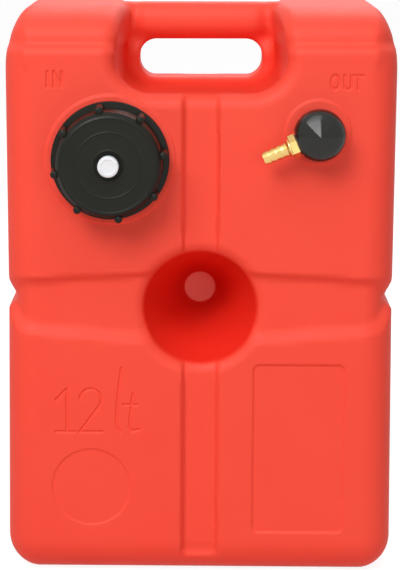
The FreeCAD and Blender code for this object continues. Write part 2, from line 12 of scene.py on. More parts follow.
import bmesh
import bpy
import numpy as np
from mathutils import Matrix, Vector


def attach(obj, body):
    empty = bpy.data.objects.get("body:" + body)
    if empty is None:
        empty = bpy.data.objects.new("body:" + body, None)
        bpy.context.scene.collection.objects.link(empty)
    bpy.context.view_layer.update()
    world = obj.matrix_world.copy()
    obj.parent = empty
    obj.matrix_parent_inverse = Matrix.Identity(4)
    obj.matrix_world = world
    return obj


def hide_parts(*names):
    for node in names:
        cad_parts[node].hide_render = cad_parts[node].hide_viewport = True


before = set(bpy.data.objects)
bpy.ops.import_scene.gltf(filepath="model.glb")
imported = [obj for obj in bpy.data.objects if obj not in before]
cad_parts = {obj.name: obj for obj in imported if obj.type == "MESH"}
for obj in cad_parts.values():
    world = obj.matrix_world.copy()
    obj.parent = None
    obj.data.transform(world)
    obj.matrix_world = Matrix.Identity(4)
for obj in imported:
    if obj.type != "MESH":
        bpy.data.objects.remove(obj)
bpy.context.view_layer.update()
MM = 0.001
scene = bpy.context.scene
scene.view_settings.view_transform = "Standard"

# %% [markdown]
# ## The camera
# The picture was taken with a long lens from a little above the middle of the tank, so uprights
# look almost parallel. The distance, the tilt and the focal length were worked out from the width
# of the base and of the top. The lens also looks a little past the tank, which a sideways shift of
# the picture makes up for. Making the camera first means that each piece can be judged from the
# right spot as soon as it exists.

# %% Camera
CAMERA_PLACE = (-0.0006, -1.3793, 0.4467)
CAMERA_TILT = math.radians(79.0)
CAMERA_PAN = math.radians(1.35)
FOCAL_IN_PIXELS = 2074.07
PICTURE_HEIGHT = 570
SENSOR = 36.0

camera_data = bpy.data.cameras.new("camera")
camera_data.sensor_width = SENSOR
camera_data.lens = FOCAL_IN_PIXELS / PICTURE_HEIGHT * SENSOR
camera_data.shift_x = FOCAL_IN_PIXELS / PICTURE_HEIGHT * math.tan(CAMERA_PAN)
camera = bpy.data.objects.new("camera", camera_data)
camera.location = CAMERA_PLACE
camera.rotation_euler = (CAMERA_TILT, 0, CAMERA_PAN)
scene.collection.objects.link(camera)
scene.camera = camera
print("focal length in mm:", round(camera_data.lens, 1))

# %% [markdown]
# ## Rounded shapes as a distance field
# A blow-moulded shell has no sharp edge and hardly a flat face. Modelling it from bevelled boxes
# needs hundreds of hand-placed edges. A distance field needs a few lines: it is a function that
# tells how far a point is outside the surface, and negative numbers mean inside. Two fields are
# joined or cut by taking the smaller or the larger number, and a rounded minimum or maximum gives
# the soft edge that the mould has. The main sizes below are those of the solids in the frame. The
# rounding of the top, the taper of the sides and the web of the handle follow the picture more closely.

# %% Rounded maximum and minimum


def both(a, b, radius):
    """Inside both shapes: their edge is rounded to the radius."""
    a = a + radius
    b = b + radius
    beyond = np.hypot(np.maximum(a, 0), np.maximum(b, 0))
    return np.minimum(np.maximum(a, b), 0) + beyond - radius


def oval(a, b, reach_a, reach_b):
    """Inside both shapes: their edge is rounded by an ellipse that is longer along one of them."""
    u = np.maximum((a + reach_a) / reach_a, 0)
    v = np.maximum((b + reach_b) / reach_b, 0)
    span = np.hypot(u, v)
    steepness = np.maximum(np.hypot(u / reach_a, v / reach_b), 1e-9)
    return np.where(span > 1e-6, (span - 1) * span / steepness, np.maximum(a, b))


def either(a, b, radius):
    """Inside one shape or the other: their inner corner is filled with the radius."""
    return -both(-a, -b, radius)


def ramp(value, start, end):
    """Zero before start and one after end, with a soft rise between them."""
    share = np.clip((value - start) / (end - start), 0, 1)
    return share * share * (3 - 2 * share)


print("rounded edge of two planes, 10 mm inside both:", float(both(np.float64(-10), np.float64(-10), 4)))

# %% Sizes of the tank in millimetres
BASE_WIDTH = 251.5
WAIST_WIDTH = 247.8
TOP_WIDTH = 248.8
WAIST_HEIGHT = 180.0
HEIGHT = 369.0
DEPTH = 160.0
WALL = 2.8
BASE_CORNER = 24.0
TOP_CORNER_WIDE = 16.5
TOP_CORNER_HIGH = 40.0
DOME_DEEP = 40.0
DOME_HIGH = 20.0
EDGE_ROUND = 20.0
SHOULDER = 346.0
SHOULDER_STEP = 6.0
SHOULDER_SIDE_STEP = 0.5
SHOULDER_LIP = 6.0
SHOULDER_FOOT = 3.0
FACE = DEPTH / 2

WELL_HEIGHT = 178.3
WELL_MOUTH = 38.8
WELL_DISC = 10.6
WELL_PINCH = 2.0
WELL_LIP = 5.5
WELL_FLOOR_ROUND = 3.0

STRAP_DEPTH = 4.0
STRAP_REACH = 108.0
STRAP_END = 120.0
SIDE_TURN = (2.0, 18.0)
STRAP_HIGH_EDGE = (199.6, 0.054, -3.0)
STRAP_HIGH_FLOOR = (192.6, 0.064, -9.0)
STRAP_LOW_FLOOR = (169.2, -0.077, 12.5)
STRAP_LOW_EDGE = (159.8, -0.084, 14.5)
NOTCH_DEEPER = 0.3
SPINE_DEPTH = 3.6
SPINE_LOW = 11.0
SPINE_HIGH = 317.0
SPINE_MIDDLE = 0.2
SPINE_FLOOR_HALF = 9.2
SPINE_EDGE_HALF = 12.8
SPINE_STARTS = (55.0, 66.0)

SCOOP_MOUTH = 56.0
SCOOP_ROOT = 48.5
SCOOP_BASE = 315.0
SCOOP_ROOT_BASE = 317.5
SCOOP_LEAN = 0.1
SCOOP_LEANS_FROM = 330.0
SCOOP_ROOT_CORNER = 17.0
SCOOP_MOUTH_CORNER = 25.0
SCOOP_LIP = 9.0
SCOOP_FLOOR_ROUND = 6.0
WEB = 14.0
WEB_AT_GRIP = 5.0
WEB_THINS = (334, 350)
GRIP_HALF_HEIGHT = 11.5
GRIP_HALF_DEPTH = 15.5
GRIP_END_DEPTH = 8.0
GRIP_THINS = (35.0, 50.0)
GRIP_FILLET = 8.0
HOLE_MIDDLE = 333.0
HOLE_HALF_WIDTH = 40.3
HOLE_HALF_HEIGHT = 12.3
HOLE_CORNER = 11.0
HOLE_LIP = 4.0
print("front face lies at y =", -FACE * MM)

# %% [markdown]
# ## The moulded body
# The body is a tall box with rounded corners that is 2 mm narrower on each side at the waist than
# at its base. Near the top it steps in to a shoulder, and the top is slightly domed. A strap channel
# runs round the waist, an upright channel runs down the middle of the front and the back, and a
# conical well pinches both walls together in the centre. Channels are made by adding their depth to
# the distance where a soft mask is one: that pushes the surface in, and the slope of the mask is the
# slope of the channel's wall.

# %% Body, channels and well


def side_wall(x, z, inset):
    """Distance to the side walls, which lean inwards up to the waist."""
    below_waist = np.clip(1 - z / WAIST_HEIGHT, 0, 1)
    above_waist = np.clip((z - WAIST_HEIGHT) / (HEIGHT - WAIST_HEIGHT), 0, 1)
    width = WAIST_WIDTH + (BASE_WIDTH - WAIST_WIDTH) * below_waist + (TOP_WIDTH - WAIST_WIDTH) * above_waist
    return np.abs(x) - width / 2 + inset


def rounded_box(x, y, z, inset, half_depth):
    """The box with its domed top. The upright edges get sharper where they run out into the dome."""
    side = oval(side_wall(x, z, inset), z - HEIGHT, TOP_CORNER_WIDE, TOP_CORNER_HIGH)
    front = oval(np.abs(y) - half_depth, z - HEIGHT, DOME_DEEP, DOME_HIGH)
    edge = np.clip((HEIGHT - z) * EDGE_ROUND / DOME_HIGH, 0.01, EDGE_ROUND)
    return both(both(side, front, edge), -z, BASE_CORNER)


def strap_mask(x, y, z):
    """One on the floor of the strap channel, which spreads towards the well and narrows to a notch."""
    inwards = STRAP_REACH - np.minimum(np.abs(x), STRAP_END)
    on_side = ramp(FACE - np.abs(y), *SIDE_TURN)

    def edge(sizes):
        """The height of one edge, from its height beside the face, its rise and its shift."""
        height, rise, shift = sizes
        return height + rise * inwards + shift * on_side

    above = 1 - ramp(z, edge(STRAP_HIGH_FLOOR), edge(STRAP_HIGH_EDGE))
    below = ramp(z, edge(STRAP_LOW_EDGE), edge(STRAP_LOW_FLOOR))
    return above * below * (1 + NOTCH_DEEPER * on_side)


def spine_mask(x, y, z):
    """One on the floor of the upright channel, on the front and on the back only."""
    sides = 1 - ramp(np.abs(x - SPINE_MIDDLE), SPINE_FLOOR_HALF, SPINE_EDGE_HALF)
    ends = ramp(z, SPINE_LOW, SPINE_LOW + 7) * (1 - ramp(z, SPINE_HIGH - 3, SPINE_HIGH + 2))
    return sides * ends * ramp(np.abs(y), *SPINE_STARTS)


def well(x, y, z):
    """The cone that is cut from the front and from the back."""
    depth = np.abs(y)
    slope = (WELL_MOUTH - WELL_DISC) / (FACE - WELL_PINCH)
    radius = WELL_DISC + slope * (depth - WELL_PINCH)
    cone = (np.hypot(x, z - WELL_HEIGHT) - radius) / math.hypot(1, slope)
    return both(cone, WELL_PINCH - depth, WELL_FLOOR_ROUND)


def moulded_body(x, y, z):
    outline = rounded_box(x, y, z, 0, FACE)
    panel = both(outline, z - SHOULDER, SHOULDER_LIP)
    core = rounded_box(x, y, z, SHOULDER_SIDE_STEP, FACE - SHOULDER_STEP)
    body = np.maximum(either(panel, core, SHOULDER_FOOT), outline)
    body = body + STRAP_DEPTH * strap_mask(x, y, z)
    body = np.maximum(body, body + SPINE_DEPTH * spine_mask(x, y, z))
    return both(body, -well(x, y, z), WELL_LIP)


# %% [markdown]
# ## The handle
# The handle is formed by two scoops, one in front and one behind, that leave a web between them. The
# web is 28 mm thick round the lower half of the hand hole and 10 mm beside the grip. The grip is a
# bar along the top of the web, thickest in the middle.

# %% Scoops, grip and hand hole


def scoop(x, y, z):
    depth = np.abs(y)
    web = WEB - (WEB - WEB_AT_GRIP) * ramp(z, *WEB_THINS)
    share = np.clip((depth - web) / (FACE - web), 0, 1)
    half_width = SCOOP_ROOT + (SCOOP_MOUTH - SCOOP_ROOT) * share
    half_width = half_width - SCOOP_LEAN * np.maximum(z - SCOOP_LEANS_FROM, 0)
    base = SCOOP_ROOT_BASE + (SCOOP_BASE - SCOOP_ROOT_BASE) * share
    corner = SCOOP_ROOT_CORNER + (SCOOP_MOUTH_CORNER - SCOOP_ROOT_CORNER) * share
    plan = both(np.abs(x) - half_width, base - z, corner)
    return both(plan, web - depth, SCOOP_FLOOR_ROUND)


def grip(x, y, z):
    middle = HEIGHT - GRIP_HALF_HEIGHT
    half_depth = GRIP_HALF_DEPTH - (GRIP_HALF_DEPTH - GRIP_END_DEPTH) * ramp(np.abs(x), *GRIP_THINS)
    edge = np.minimum(half_depth, GRIP_HALF_HEIGHT) - 0.6
    bar = both(np.abs(y) - half_depth, np.abs(z - middle) - GRIP_HALF_HEIGHT, edge)
    return np.maximum(bar, np.abs(x) - SCOOP_MOUTH - 4)


def hand_hole(x, z):
    return both(np.abs(x) - HOLE_HALF_WIDTH, np.abs(z - HOLE_MIDDLE) - HOLE_HALF_HEIGHT, HOLE_CORNER)


def tank_body(x, y, z):
    """The outside of the tank without its small marks."""
    body = both(moulded_body(x, y, z), -scoop(x, y, z), SCOOP_LIP)
    body = np.maximum(either(body, grip(x, y, z), GRIP_FILLET), z - HEIGHT)
    return both(body, -hand_hole(x, z), HOLE_LIP)


print("middle of the front face:", round(float(tank_body(*np.array([60.0, -80.0, 100.0]))), 3), "mm")

# %% [markdown]
# ## Marks in the working face
# The mould also leaves shallow details: a raised round under each neck, a sunken place for a label,
# which stays bare here, a sunken disc, the words IN and OUT, and the capacity. The letters are
# strokes of a round-tipped cutter, so the depth of a mark depends only on the distance to a line.

# %% Strokes of the engraved marks
STROKE_HALF = 0.75
STROKE_SOFT = 0.55
STROKE_DEPTH = 0.75


def arc(centre, radii, start, end, steps=10):
    """Points on part of an ellipse, given by its centre, its two radii and two angles in degrees."""
    angles = np.radians(np.linspace(start, end, steps))
    return [(centre[0] + radii[0] * math.cos(a), centre[1] + radii[1] * math.sin(a)) for a in angles]


CAPACITY = [
    [(-92.6, 118.0), (-85.8, 125.4), (-85.6, 96.9)],
    [(-92.9, 96.9), (-80.4, 96.9)],
    [*arc((-70.3, 118.3), (6.9, 7.2), 175, -25), (-77.4, 96.9), (-62.8, 96.9)],
    [(-50.3, 139.4), (-52.1, 125.3), (-53.3, 115.5), (-53.7, 103.8), (-53.0, 99.9), (-51.0, 97.4)],
    [(-42.9, 122.4), (-44.5, 109.7), (-45.3, 100.5), (-43.4, 97.5), (-38.9, 98.8)],
    [(-49.1, 115.0), (-40.1, 115.0)],
]
INLET = [
    [(-96.4, 320.4), (-96.4, 329.8)],
    [(-92.3, 320.4), (-92.3, 329.8), (-87.4, 320.4), (-87.4, 329.8)],
]
OUTLET = [
    arc((84.05, 323.5), (2.5, 4.3), 0, 360, 18),
    [(89.9, 327.8), *arc((92.0, 321.4), (2.1, 2.3), 180, 360, 8), (94.1, 327.8)],
    [(98.5, 319.2), (98.5, 327.6)],
    [(95.7, 327.6), (101.2, 327.6)],
]
MARKS = CAPACITY + INLET + OUTLET


def stroke_distance(x, z):
    """Distance in the working face to the nearest stroke."""
    nearest = np.full(x.shape, 1000.0)
    for stroke in MARKS:
        for (ax, az), (bx, bz) in zip(stroke, stroke[1:]):
            along = (bx - ax, bz - az)
            length = along[0] ** 2 + along[1] ** 2
            share = np.clip(((x - ax) * along[0] + (z - az) * along[1]) / length, 0, 1)
            nearest = np.minimum(nearest, np.hypot(x - ax - share * along[0], z - az - share * along[1]))
    return nearest


print("strokes:", len(MARKS))

# %% Label place, round mark, pads and parting line
LABEL_MIDDLE = (63.9, 85.8)
LABEL_HALF = (29.3, 56.0)
LABEL_CORNER = 4.0
LABEL_SINK = 1.2
ROUND_MARK = (-70.2, 60.0)
ROUND_RADIUS = 25.4
ROUND_SINK = 0.7
FILLER = (-57.0, 274.5)
FILLER_PAD_RADIUS = 42.0
FILLER_PAD = 1.2
OUTLET_AXIS = (74.0, 292.0)
OUTLET_PAD_RADIUS = 21.5
OUTLET_PAD = 1.0
GROOVE_PLACE = (11.4, 266.0)
GROOVE_HALF = (0.9, 26.0)
GROOVE_SINK = 0.6
PARTING_HEIGHT = 0.25
PARTING_HALF = 0.6
PARTING_STARTS = (8.0, 20.0)
PARTING_ENDS = (322.0, 340.0)
HANDLE_SIDE = 62.0
HANDLE_BASE = 300.0


def radius_from(place, x, z):
    return np.hypot(x - place[0], z - place[1])


def label_edge(x, z):
    across = np.abs(x - LABEL_MIDDLE[0]) - LABEL_HALF[0]
    upwards = np.abs(z - LABEL_MIDDLE[1]) - LABEL_HALF[1]
    return both(across, upwards, LABEL_CORNER)


def tank_surface(x, y, z):
    """The outside of the tank with its marks."""
    front = y < -FACE / 2
    sunk = LABEL_SINK * (1 - ramp(label_edge(x, z), -0.9, 1.1))
    from_round = radius_from(ROUND_MARK, x, z) - ROUND_RADIUS
    sunk = sunk + ROUND_SINK * (1 - ramp(from_round, -0.7, 0.7))
    from_stroke = stroke_distance(x, z) - STROKE_HALF
    sunk = sunk + STROKE_DEPTH * (1 - ramp(from_stroke, -STROKE_SOFT, STROKE_SOFT))
    groove_across = np.abs(x - GROOVE_PLACE[0]) - GROOVE_HALF[0]
    groove_along = np.abs(z - GROOVE_PLACE[1]) - GROOVE_HALF[1]
    sunk = sunk + GROOVE_SINK * (1 - ramp(np.maximum(groove_across, groove_along), -0.7, 0.5))
    raised = FILLER_PAD * (1 - ramp(radius_from(FILLER, x, z), FILLER_PAD_RADIUS - 1.9, FILLER_PAD_RADIUS))
    raised = raised + OUTLET_PAD * (
        1 - ramp(radius_from(OUTLET_AXIS, x, z), OUTLET_PAD_RADIUS - 1.7, OUTLET_PAD_RADIUS)
    )
    parting = PARTING_HEIGHT * (1 - ramp(np.abs(y), PARTING_HALF * 0.4, PARTING_HALF * 1.4))
    beside_handle = ramp(np.maximum(np.abs(x) - HANDLE_SIDE, HANDLE_BASE - z), 0, 4)
    parting = parting * beside_handle * ramp(z, *PARTING_STARTS) * (1 - ramp(z, *PARTING_ENDS))
    return tank_body(x, y, z) + np.where(front, sunk - raised, 0) - parting


# %% [markdown]
# ## From the field to a mesh
# Surface nets turn a field into quads: space is cut into small cubes, each cube that the surface
# crosses gets one point in the middle of its crossings, and each crossed cube edge gets one quad.
# Afterwards the points are pulled onto the exact surface along the slope of the field. Marching
# cubes would also work, but its slivers shade badly.

# %% Surface nets


def slope(field, points, reach=0.12):
    """The gradient of a field at many points, by differences."""
    parts = []
    for axis in range(3):
        step = np.zeros(3)
        step[axis] = reach
        parts.append(field(*(points + step).T) - field(*(points - step).T))
    return np.stack(parts, 1) / (2 * reach)


def settle(points, field, rounds=4, longest=1.5):
    """Pulls points onto the surface, never further than longest in one round."""
    for _ in range(rounds):
        gradient = slope(field, points)
        size_squared = np.maximum((gradient ** 2).sum(1), 0.04)
        move = field(*points.T) / size_squared
        move = np.clip(move, -longest, longest)
        points = points - gradient * move[:, None]
    return points


def surface_net(field, low, high, step):
    """Points and quads of the surface where the field is zero, wound so that faces look outwards."""
    axes = [np.arange(a, b + step, step) for a, b in zip(low, high)]
    grid = field(*np.meshgrid(*axes, indexing="ij"))
    inside = grid < 0
    cells = tuple(n - 1 for n in grid.shape)
    total = np.zeros(cells + (3,))
    count = np.zeros(cells)
    crossings = []
    for axis in range(3):
        first = [slice(None)] * 3
        second = [slice(None)] * 3
        first[axis] = slice(None, -1)
        second[axis] = slice(1, None)
        first, second = tuple(first), tuple(second)
        crossed = inside[first] != inside[second]
        spread = np.where(crossed, grid[first] - grid[second], 1)
        share = np.where(crossed, grid[first] / spread, 0)
        crossings.append((crossed, inside[first]))
        others = [a for a in range(3) if a != axis]
        for i in (0, 1):
            for j in (0, 1):
                part = [slice(None)] * 3
                part[others[0]] = slice(i, i + cells[others[0]])
                part[others[1]] = slice(j, j + cells[others[1]])
                hit = crossed[tuple(part)]
                count += hit
                total[..., axis] += np.where(hit, share[tuple(part)], 0)
                total[..., others[0]] += hit * i
                total[..., others[1]] += hit * j
    used = count > 0
    number = np.full(cells, -1)
    number[used] = np.arange(used.sum())
    corner = np.stack(np.nonzero(used), 1)
    points = (corner + total[used] / count[used][:, None]) * step + np.array([a[0] for a in axes])
    quads = []
    for axis, (crossed, starts_inside) in enumerate(crossings):
        u, v = (axis + 1) % 3, (axis + 2) % 3
        found = np.stack(np.nonzero(crossed), 1)
        found = found[(found[:, u] > 0) & (found[:, v] > 0)]
        found = found[(found[:, u] < cells[u]) & (found[:, v] < cells[v])]
        ring = []
        for du, dv in ((-1, -1), (0, -1), (0, 0), (-1, 0)):
            spot = found.copy()
            spot[:, u] += du
            spot[:, v] += dv
            ring.append(number[tuple(spot.T)])
        ring = np.stack(ring, 1)
        outwards = starts_inside[tuple(found.T)]
        quads.append(np.where(outwards[:, None], ring, ring[:, ::-1]))
    return points, np.concatenate(quads)


STEP = 3.1
LOW = (-130.0, -84.5, -3.0)
HIGH = (130.0, 84.5, 373.0)
shell_points, shell_quads = surface_net(tank_body, LOW, HIGH, STEP)
shell_points = settle(shell_points, tank_body)
print("quads of the outside:", len(shell_quads))

# %% [markdown]
# ## Finer faces only where a detail needs them
# A stroke of 1.5 mm can't be formed by faces of 3 mm. Making all faces small would cost millions,
# so only the faces near a mark, an edge of the handle or the parting line are divided, some of
# them more than once. After each round the new points are pulled onto the surface again.

# %% Divide and settle


def detail_size(points):
    """The edge length in millimetres that the surface needs at each point."""
    x, y, z = points.T
    wanted = np.full(len(points), 10.0)
    front = y < -FACE / 2
    near_stroke = front & (stroke_distance(x, z) < 2.6)
    near_edge = front & (np.abs(label_edge(x, z)) < 2.2)
    near_edge |= front & (np.abs(radius_from(ROUND_MARK, x, z) - ROUND_RADIUS) < 2)
    near_pad = front & (np.abs(radius_from(FILLER, x, z) - FILLER_PAD_RADIUS + 1) < 2.6)
    near_pad |= front & (np.abs(radius_from(OUTLET_AXIS, x, z) - OUTLET_PAD_RADIUS + 1) < 2.6)
    near_groove = front & (np.abs(x - GROOVE_PLACE[0]) < 3)
    near_groove &= np.abs(z - GROOVE_PLACE[1]) < GROOVE_HALF[1] + 3
    near_hole = (np.abs(hand_hole(x, z)) < 7) & (np.abs(y) < 18)
    near_lip = (np.abs(well(x, y, z)) < 8) & (np.abs(y) > 60)
    wanted[near_hole | near_lip] = 2.0
    wanted[near_pad | (np.abs(y) < 1.6)] = 1.0
    wanted[near_edge | near_groove] = 0.8
    wanted[near_stroke] = 0.5
    return wanted


def refine(mesh_data, field, rounds):
    """Divides the faces that are too large for the detail on them."""
    work = bmesh.new()
    work.from_mesh(mesh_data)
    edge_now = STEP
    for _ in range(rounds):
        work.faces.ensure_lookup_table()
        centres = np.array([face.calc_center_median() for face in work.faces])
        areas = np.array([face.calc_area() for face in work.faces])
        too_large = np.sqrt(areas) > detail_size(centres) * 1.25
        edges = {edge for face, pick in zip(work.faces, too_large) if pick for edge in face.edges}
        bmesh.ops.subdivide_edges(work, edges=list(edges), cuts=1, use_grid_fill=True)
        points = np.array([vertex.co for vertex in work.verts])
        points = settle(points, field, rounds=2, longest=0.6)
        for vertex, point in zip(work.verts, points):
            vertex.co = point
        edge_now /= 2
    bmesh.ops.triangulate(work, faces=work.faces)
    work.to_mesh(mesh_data)
    work.free()
    return edge_now


def mesh_from(name, points, faces):
    data = bpy.data.meshes.new(name)
    data.from_pydata([tuple(p) for p in points], [], [tuple(int(i) for i in f) for f in faces])
    data.update()
    return data


outside = mesh_from("outside", shell_points, shell_quads)
finest = refine(outside, tank_surface, 3)
print("finest edge in mm:", round(finest, 2), "triangles outside:", len(outside.polygons))

# %% [markdown]
# ## A small toolkit for turned parts
# Necks, cap, vent screw and barb are turned or moulded round an axis. Such a part is drawn as half
# a section: a list of radius and height, with the rounding of each corner as a third number. The
# section is spun into faces, and edges that are sharper than a limit keep a crisp shade.

# %% Axes, rounded sections and spinning


class Axis:
    """A local frame: points are given across, up and along the axis, in millimetres."""

    def __init__(self, origin, along, across):
        self.origin = np.array(origin, float)
        self.along = np.array(along, float) / np.linalg.norm(along)
        self.across = np.array(across, float) / np.linalg.norm(across)
        self.up = np.cross(self.along, self.across)

    def point(self, across, up, along):
        return self.origin + self.across * across + self.up * up + self.along * along


def rounded(section, steps=5):
    """Replaces each corner of a closed section by an arc of the radius given as its third number."""
    result = []
    for i, (r, h, fillet) in enumerate(section):
        here = Vector((r, h))
        if fillet <= 0:
            result.append((r, h))
            continue
        before = Vector(section[i - 1][:2]) - here
        after = Vector(section[(i + 1) % len(section)][:2]) - here
        half = before.angle(after) / 2
        reach = min(fillet / math.tan(half), before.length * 0.49, after.length * 0.49)
        start = here + before.normalized() * reach
        end = here + after.normalized() * reach
        for step in range(steps + 1):
            t = step / steps
            spot = start * (1 - t) ** 2 + here * (2 * t * (1 - t)) + end * t * t
            result.append((spot.x, spot.y))
    return result


def spun(work, section, axis, segments=96):
    """Adds a closed section, turned round the axis, to a bmesh."""
    rings = []
    for step in range(segments):
        angle = 2 * math.pi * step / segments
        ring = [work.verts.new(axis.point(r * math.cos(angle), r * math.sin(angle), h)) for r, h in section]
        rings.append(ring)
    for ring, following in zip(rings, rings[1:] + rings[:1]):
        for i in range(len(section)):
            j = (i + 1) % len(section)
            work.faces.new((ring[i], ring[j], following[j], following[i]))


def tidy(work, crisp=32):
    """Merges doubles, drops slivers, turns the faces outwards and marks crisp edges."""
    bmesh.ops.remove_doubles(work, verts=work.verts, dist=0.0005)
    bmesh.ops.dissolve_degenerate(work, edges=work.edges, dist=0.0005)
    bmesh.ops.recalc_face_normals(work, faces=work.faces)
    for face in work.faces:
        face.smooth = True
    for edge in work.edges:
        edge.smooth = len(edge.link_faces) != 2 or edge.calc_face_angle(0) < math.radians(crisp)


def as_object(name, data):
    """Puts a mesh that is drawn in millimetres into the scene, in metres."""
    points = np.empty(len(data.vertices) * 3, np.float32)
    data.vertices.foreach_get("co", points)
    data.vertices.foreach_set("co", points * MM)
    data.update()
    data.name = name
    item = bpy.data.objects.new(name, data)
    scene.collection.objects.link(item)
    return item


def from_work(name, work):
    data = bpy.data.meshes.new(name)
    work.to_mesh(data)
    work.free()
    return data


FILLER_AXIS = Axis((FILLER[0], -FACE, FILLER[1]), (0, -1, 0), (1, 0, 0))
HEAD_AXIS = Axis((OUTLET_AXIS[0], -FACE, OUTLET_AXIS[1]), (0, -1, 0), (1, 0, 0))
print("the filler points along", FILLER_AXIS.along, "and its up is", FILLER_AXIS.up)

# %% [markdown]
# ## Node trees written as sums
# Materials and Geometry Nodes both need many small nodes. Two classes keep them readable. A Wire
# stands for one socket and takes part in Python sums, so that 1 - mask works. A Graph adds any
# other node with a single method, which sets the node's own settings first and then its sockets.

# %% Wire and Graph


class Wire:
    """One output socket that can be added, multiplied and compared like a number."""

    def __init__(self, graph, socket):
        self.graph = graph
        self.socket = socket

    def maths(self, operation, *values):
        return self.graph.node("ShaderNodeMath", {"operation": operation}, dict(enumerate(values)))

    def __add__(self, other):
        return self.maths("ADD", self, other)

    def __radd__(self, other):
        return self.maths("ADD", other, self)

    def __sub__(self, other):
        return self.maths("SUBTRACT", self, other)

    def __rsub__(self, other):
        return self.maths("SUBTRACT", other, self)

    def __mul__(self, other):
        return self.maths("MULTIPLY", self, other)

    def __rmul__(self, other):
        return self.maths("MULTIPLY", other, self)

    def __truediv__(self, other):
        return self.maths("DIVIDE", self, other)

    def __pow__(self, other):
        return self.maths("POWER", self, other)

    def __abs__(self):
        return self.maths("ABSOLUTE", self)

    def below(self, limit, soft):
        """One where the value is under the limit, with a soft edge."""
        return self.graph.node("ShaderNodeMapRange", {"interpolation_type": "SMOOTHSTEP"}, {
            "Value": self, "From Min": limit - soft, "From Max": limit + soft, "To Min": 1.0, "To Max": 0.0,
        })


class Graph:
    """A node tree and the one method that fills it."""

    def __init__(self, tree):
        self.tree = tree

    def node(self, kind, settings=None, sockets=None, out=0):
        made = self.tree.nodes.new(kind)
        for key, value in (settings or {}).items():
            if key == "stops":
                ramp_stops = made.color_ramp.elements
                while len(ramp_stops) < len(value):
                    ramp_stops.new(1.0)
                for stop, (position, colour) in zip(ramp_stops, value):
                    stop.position = position
                    stop.color = colour
            else:
                setattr(made, key, value)
        for key, value in (sockets or {}).items():
            self.feed(self.find(made.inputs, key), value)
        return Wire(self, self.find(made.outputs, out))

    @staticmethod
    def find(group, key):
        if isinstance(key, int):
            return group[key]
        return next(s for s in group if s.identifier == key or (s.name == key and s.enabled))

    def feed(self, socket, value):
        if isinstance(value, Wire):
            self.tree.links.new(value.socket, socket)
        else:
            socket.default_value = value


class Finish(Graph):
    """A material: a Principled shader with sums in front of it."""

    def __init__(self, name, **constants):
        self.material = bpy.data.materials.new(name)
        self.material.use_nodes = True
        super().__init__(self.material.node_tree)
        self.shader = self.tree.nodes["Principled BSDF"]
        self.position = self.node("ShaderNodeTexCoord", out="Object")
        for key, value in constants.items():
            self.shader.inputs[key.replace("_", " ")].default_value = value

    def set(self, socket, value):
        self.feed(self.shader.inputs[socket], value)

    def xyz(self):
        """The three numbers of the position, each as a wire."""
        apart = self.node("ShaderNodeSeparateXYZ", {}, {0: self.position})
        return [Wire(self, socket) for socket in apart.socket.node.outputs]

    def noise(self, scale, detail=3.0, roughness=0.55, vector=None, out="Fac"):
        return self.node("ShaderNodeTexNoise", {}, {
            "Vector": vector or self.position, "Scale": scale, "Detail": detail, "Roughness": roughness,
        }, out)

    def mix(self, share, first, second):
        return self.node("ShaderNodeMix", {"data_type": "RGBA"}, {
            "Factor_Float": share, "A_Color": first, "B_Color": second,
        }, "Result_Color")

    def bump(self, height, strength, distance):
        self.set("Normal", self.node("ShaderNodeBump", {}, {
            "Strength": strength, "Distance": distance, "Height": height,
        }, "Normal"))


def colour(red, green, blue):
    """A colour as a paint card or a picture gives it, turned into the linear values of a shader."""
    values = []
    for part in (red, green, blue):
        part = part / 255
        values.append(part / 12.92 if part <= 0.04045 else ((part + 0.055) / 1.055) ** 2.4)
    return (*values, 1.0)


print("mid grey in linear light:", [round(v, 3) for v in colour(128, 128, 128)])

# %% [markdown]
# ## Threads from Geometry Nodes
# Both necks carry a coarse screw thread. A thread is a profile that follows a helix, so a tree with
# a Spiral curve and Curve to Mesh makes it for any neck: radius, pitch, turns and thickness are
# named inputs of the tree, set before the modifier is evaluated.

# %% Thread tree


def new_tree(name, inputs):
    """A Geometry Nodes tree with named inputs, as a Graph and the wires of its inputs."""
    tree = bpy.data.node_groups.new(name, "GeometryNodeTree")
    tree.interface.new_socket("Geometry", in_out="OUTPUT", socket_type="NodeSocketGeometry")
    for label, kind in inputs:
        tree.interface.new_socket(label, in_out="INPUT", socket_type=kind)
    graph = Graph(tree)
    entry = tree.nodes.new("NodeGroupInput")
    graph.exit = tree.nodes.new("NodeGroupOutput")
    wires = {socket.name: Wire(graph, socket) for socket in entry.outputs if socket.name}
    return graph, wires


def close_tree(graph, geometry, material):
    """Ends a tree with Realize Instances and Set Material, as the export needs."""
    real = graph.node("GeometryNodeRealizeInstances", {}, {"Geometry": geometry})
    done = graph.node("GeometryNodeSetMaterial", {}, {"Geometry": real, "Material": material})
    graph.feed(graph.exit.inputs[0], done)


def grown(name, graph, values):
    """Evaluates a tree on an empty mesh and returns the result as a plain mesh."""
    host = bpy.data.objects.new(name, bpy.data.meshes.new(name))
    scene.collection.objects.link(host)
    modifier = host.modifiers.new(name, "NODES")
    modifier.node_group = graph.tree
    for item in graph.tree.interface.items_tree:
        if item.in_out == "INPUT" and item.name in values:
            modifier[item.identifier] = values[item.name]
    evaluated = host.evaluated_get(bpy.context.evaluated_depsgraph_get())
    result = bpy.data.meshes.new_from_object(evaluated)
    host.modifiers.remove(modifier)
    bpy.data.objects.remove(host)
    return result


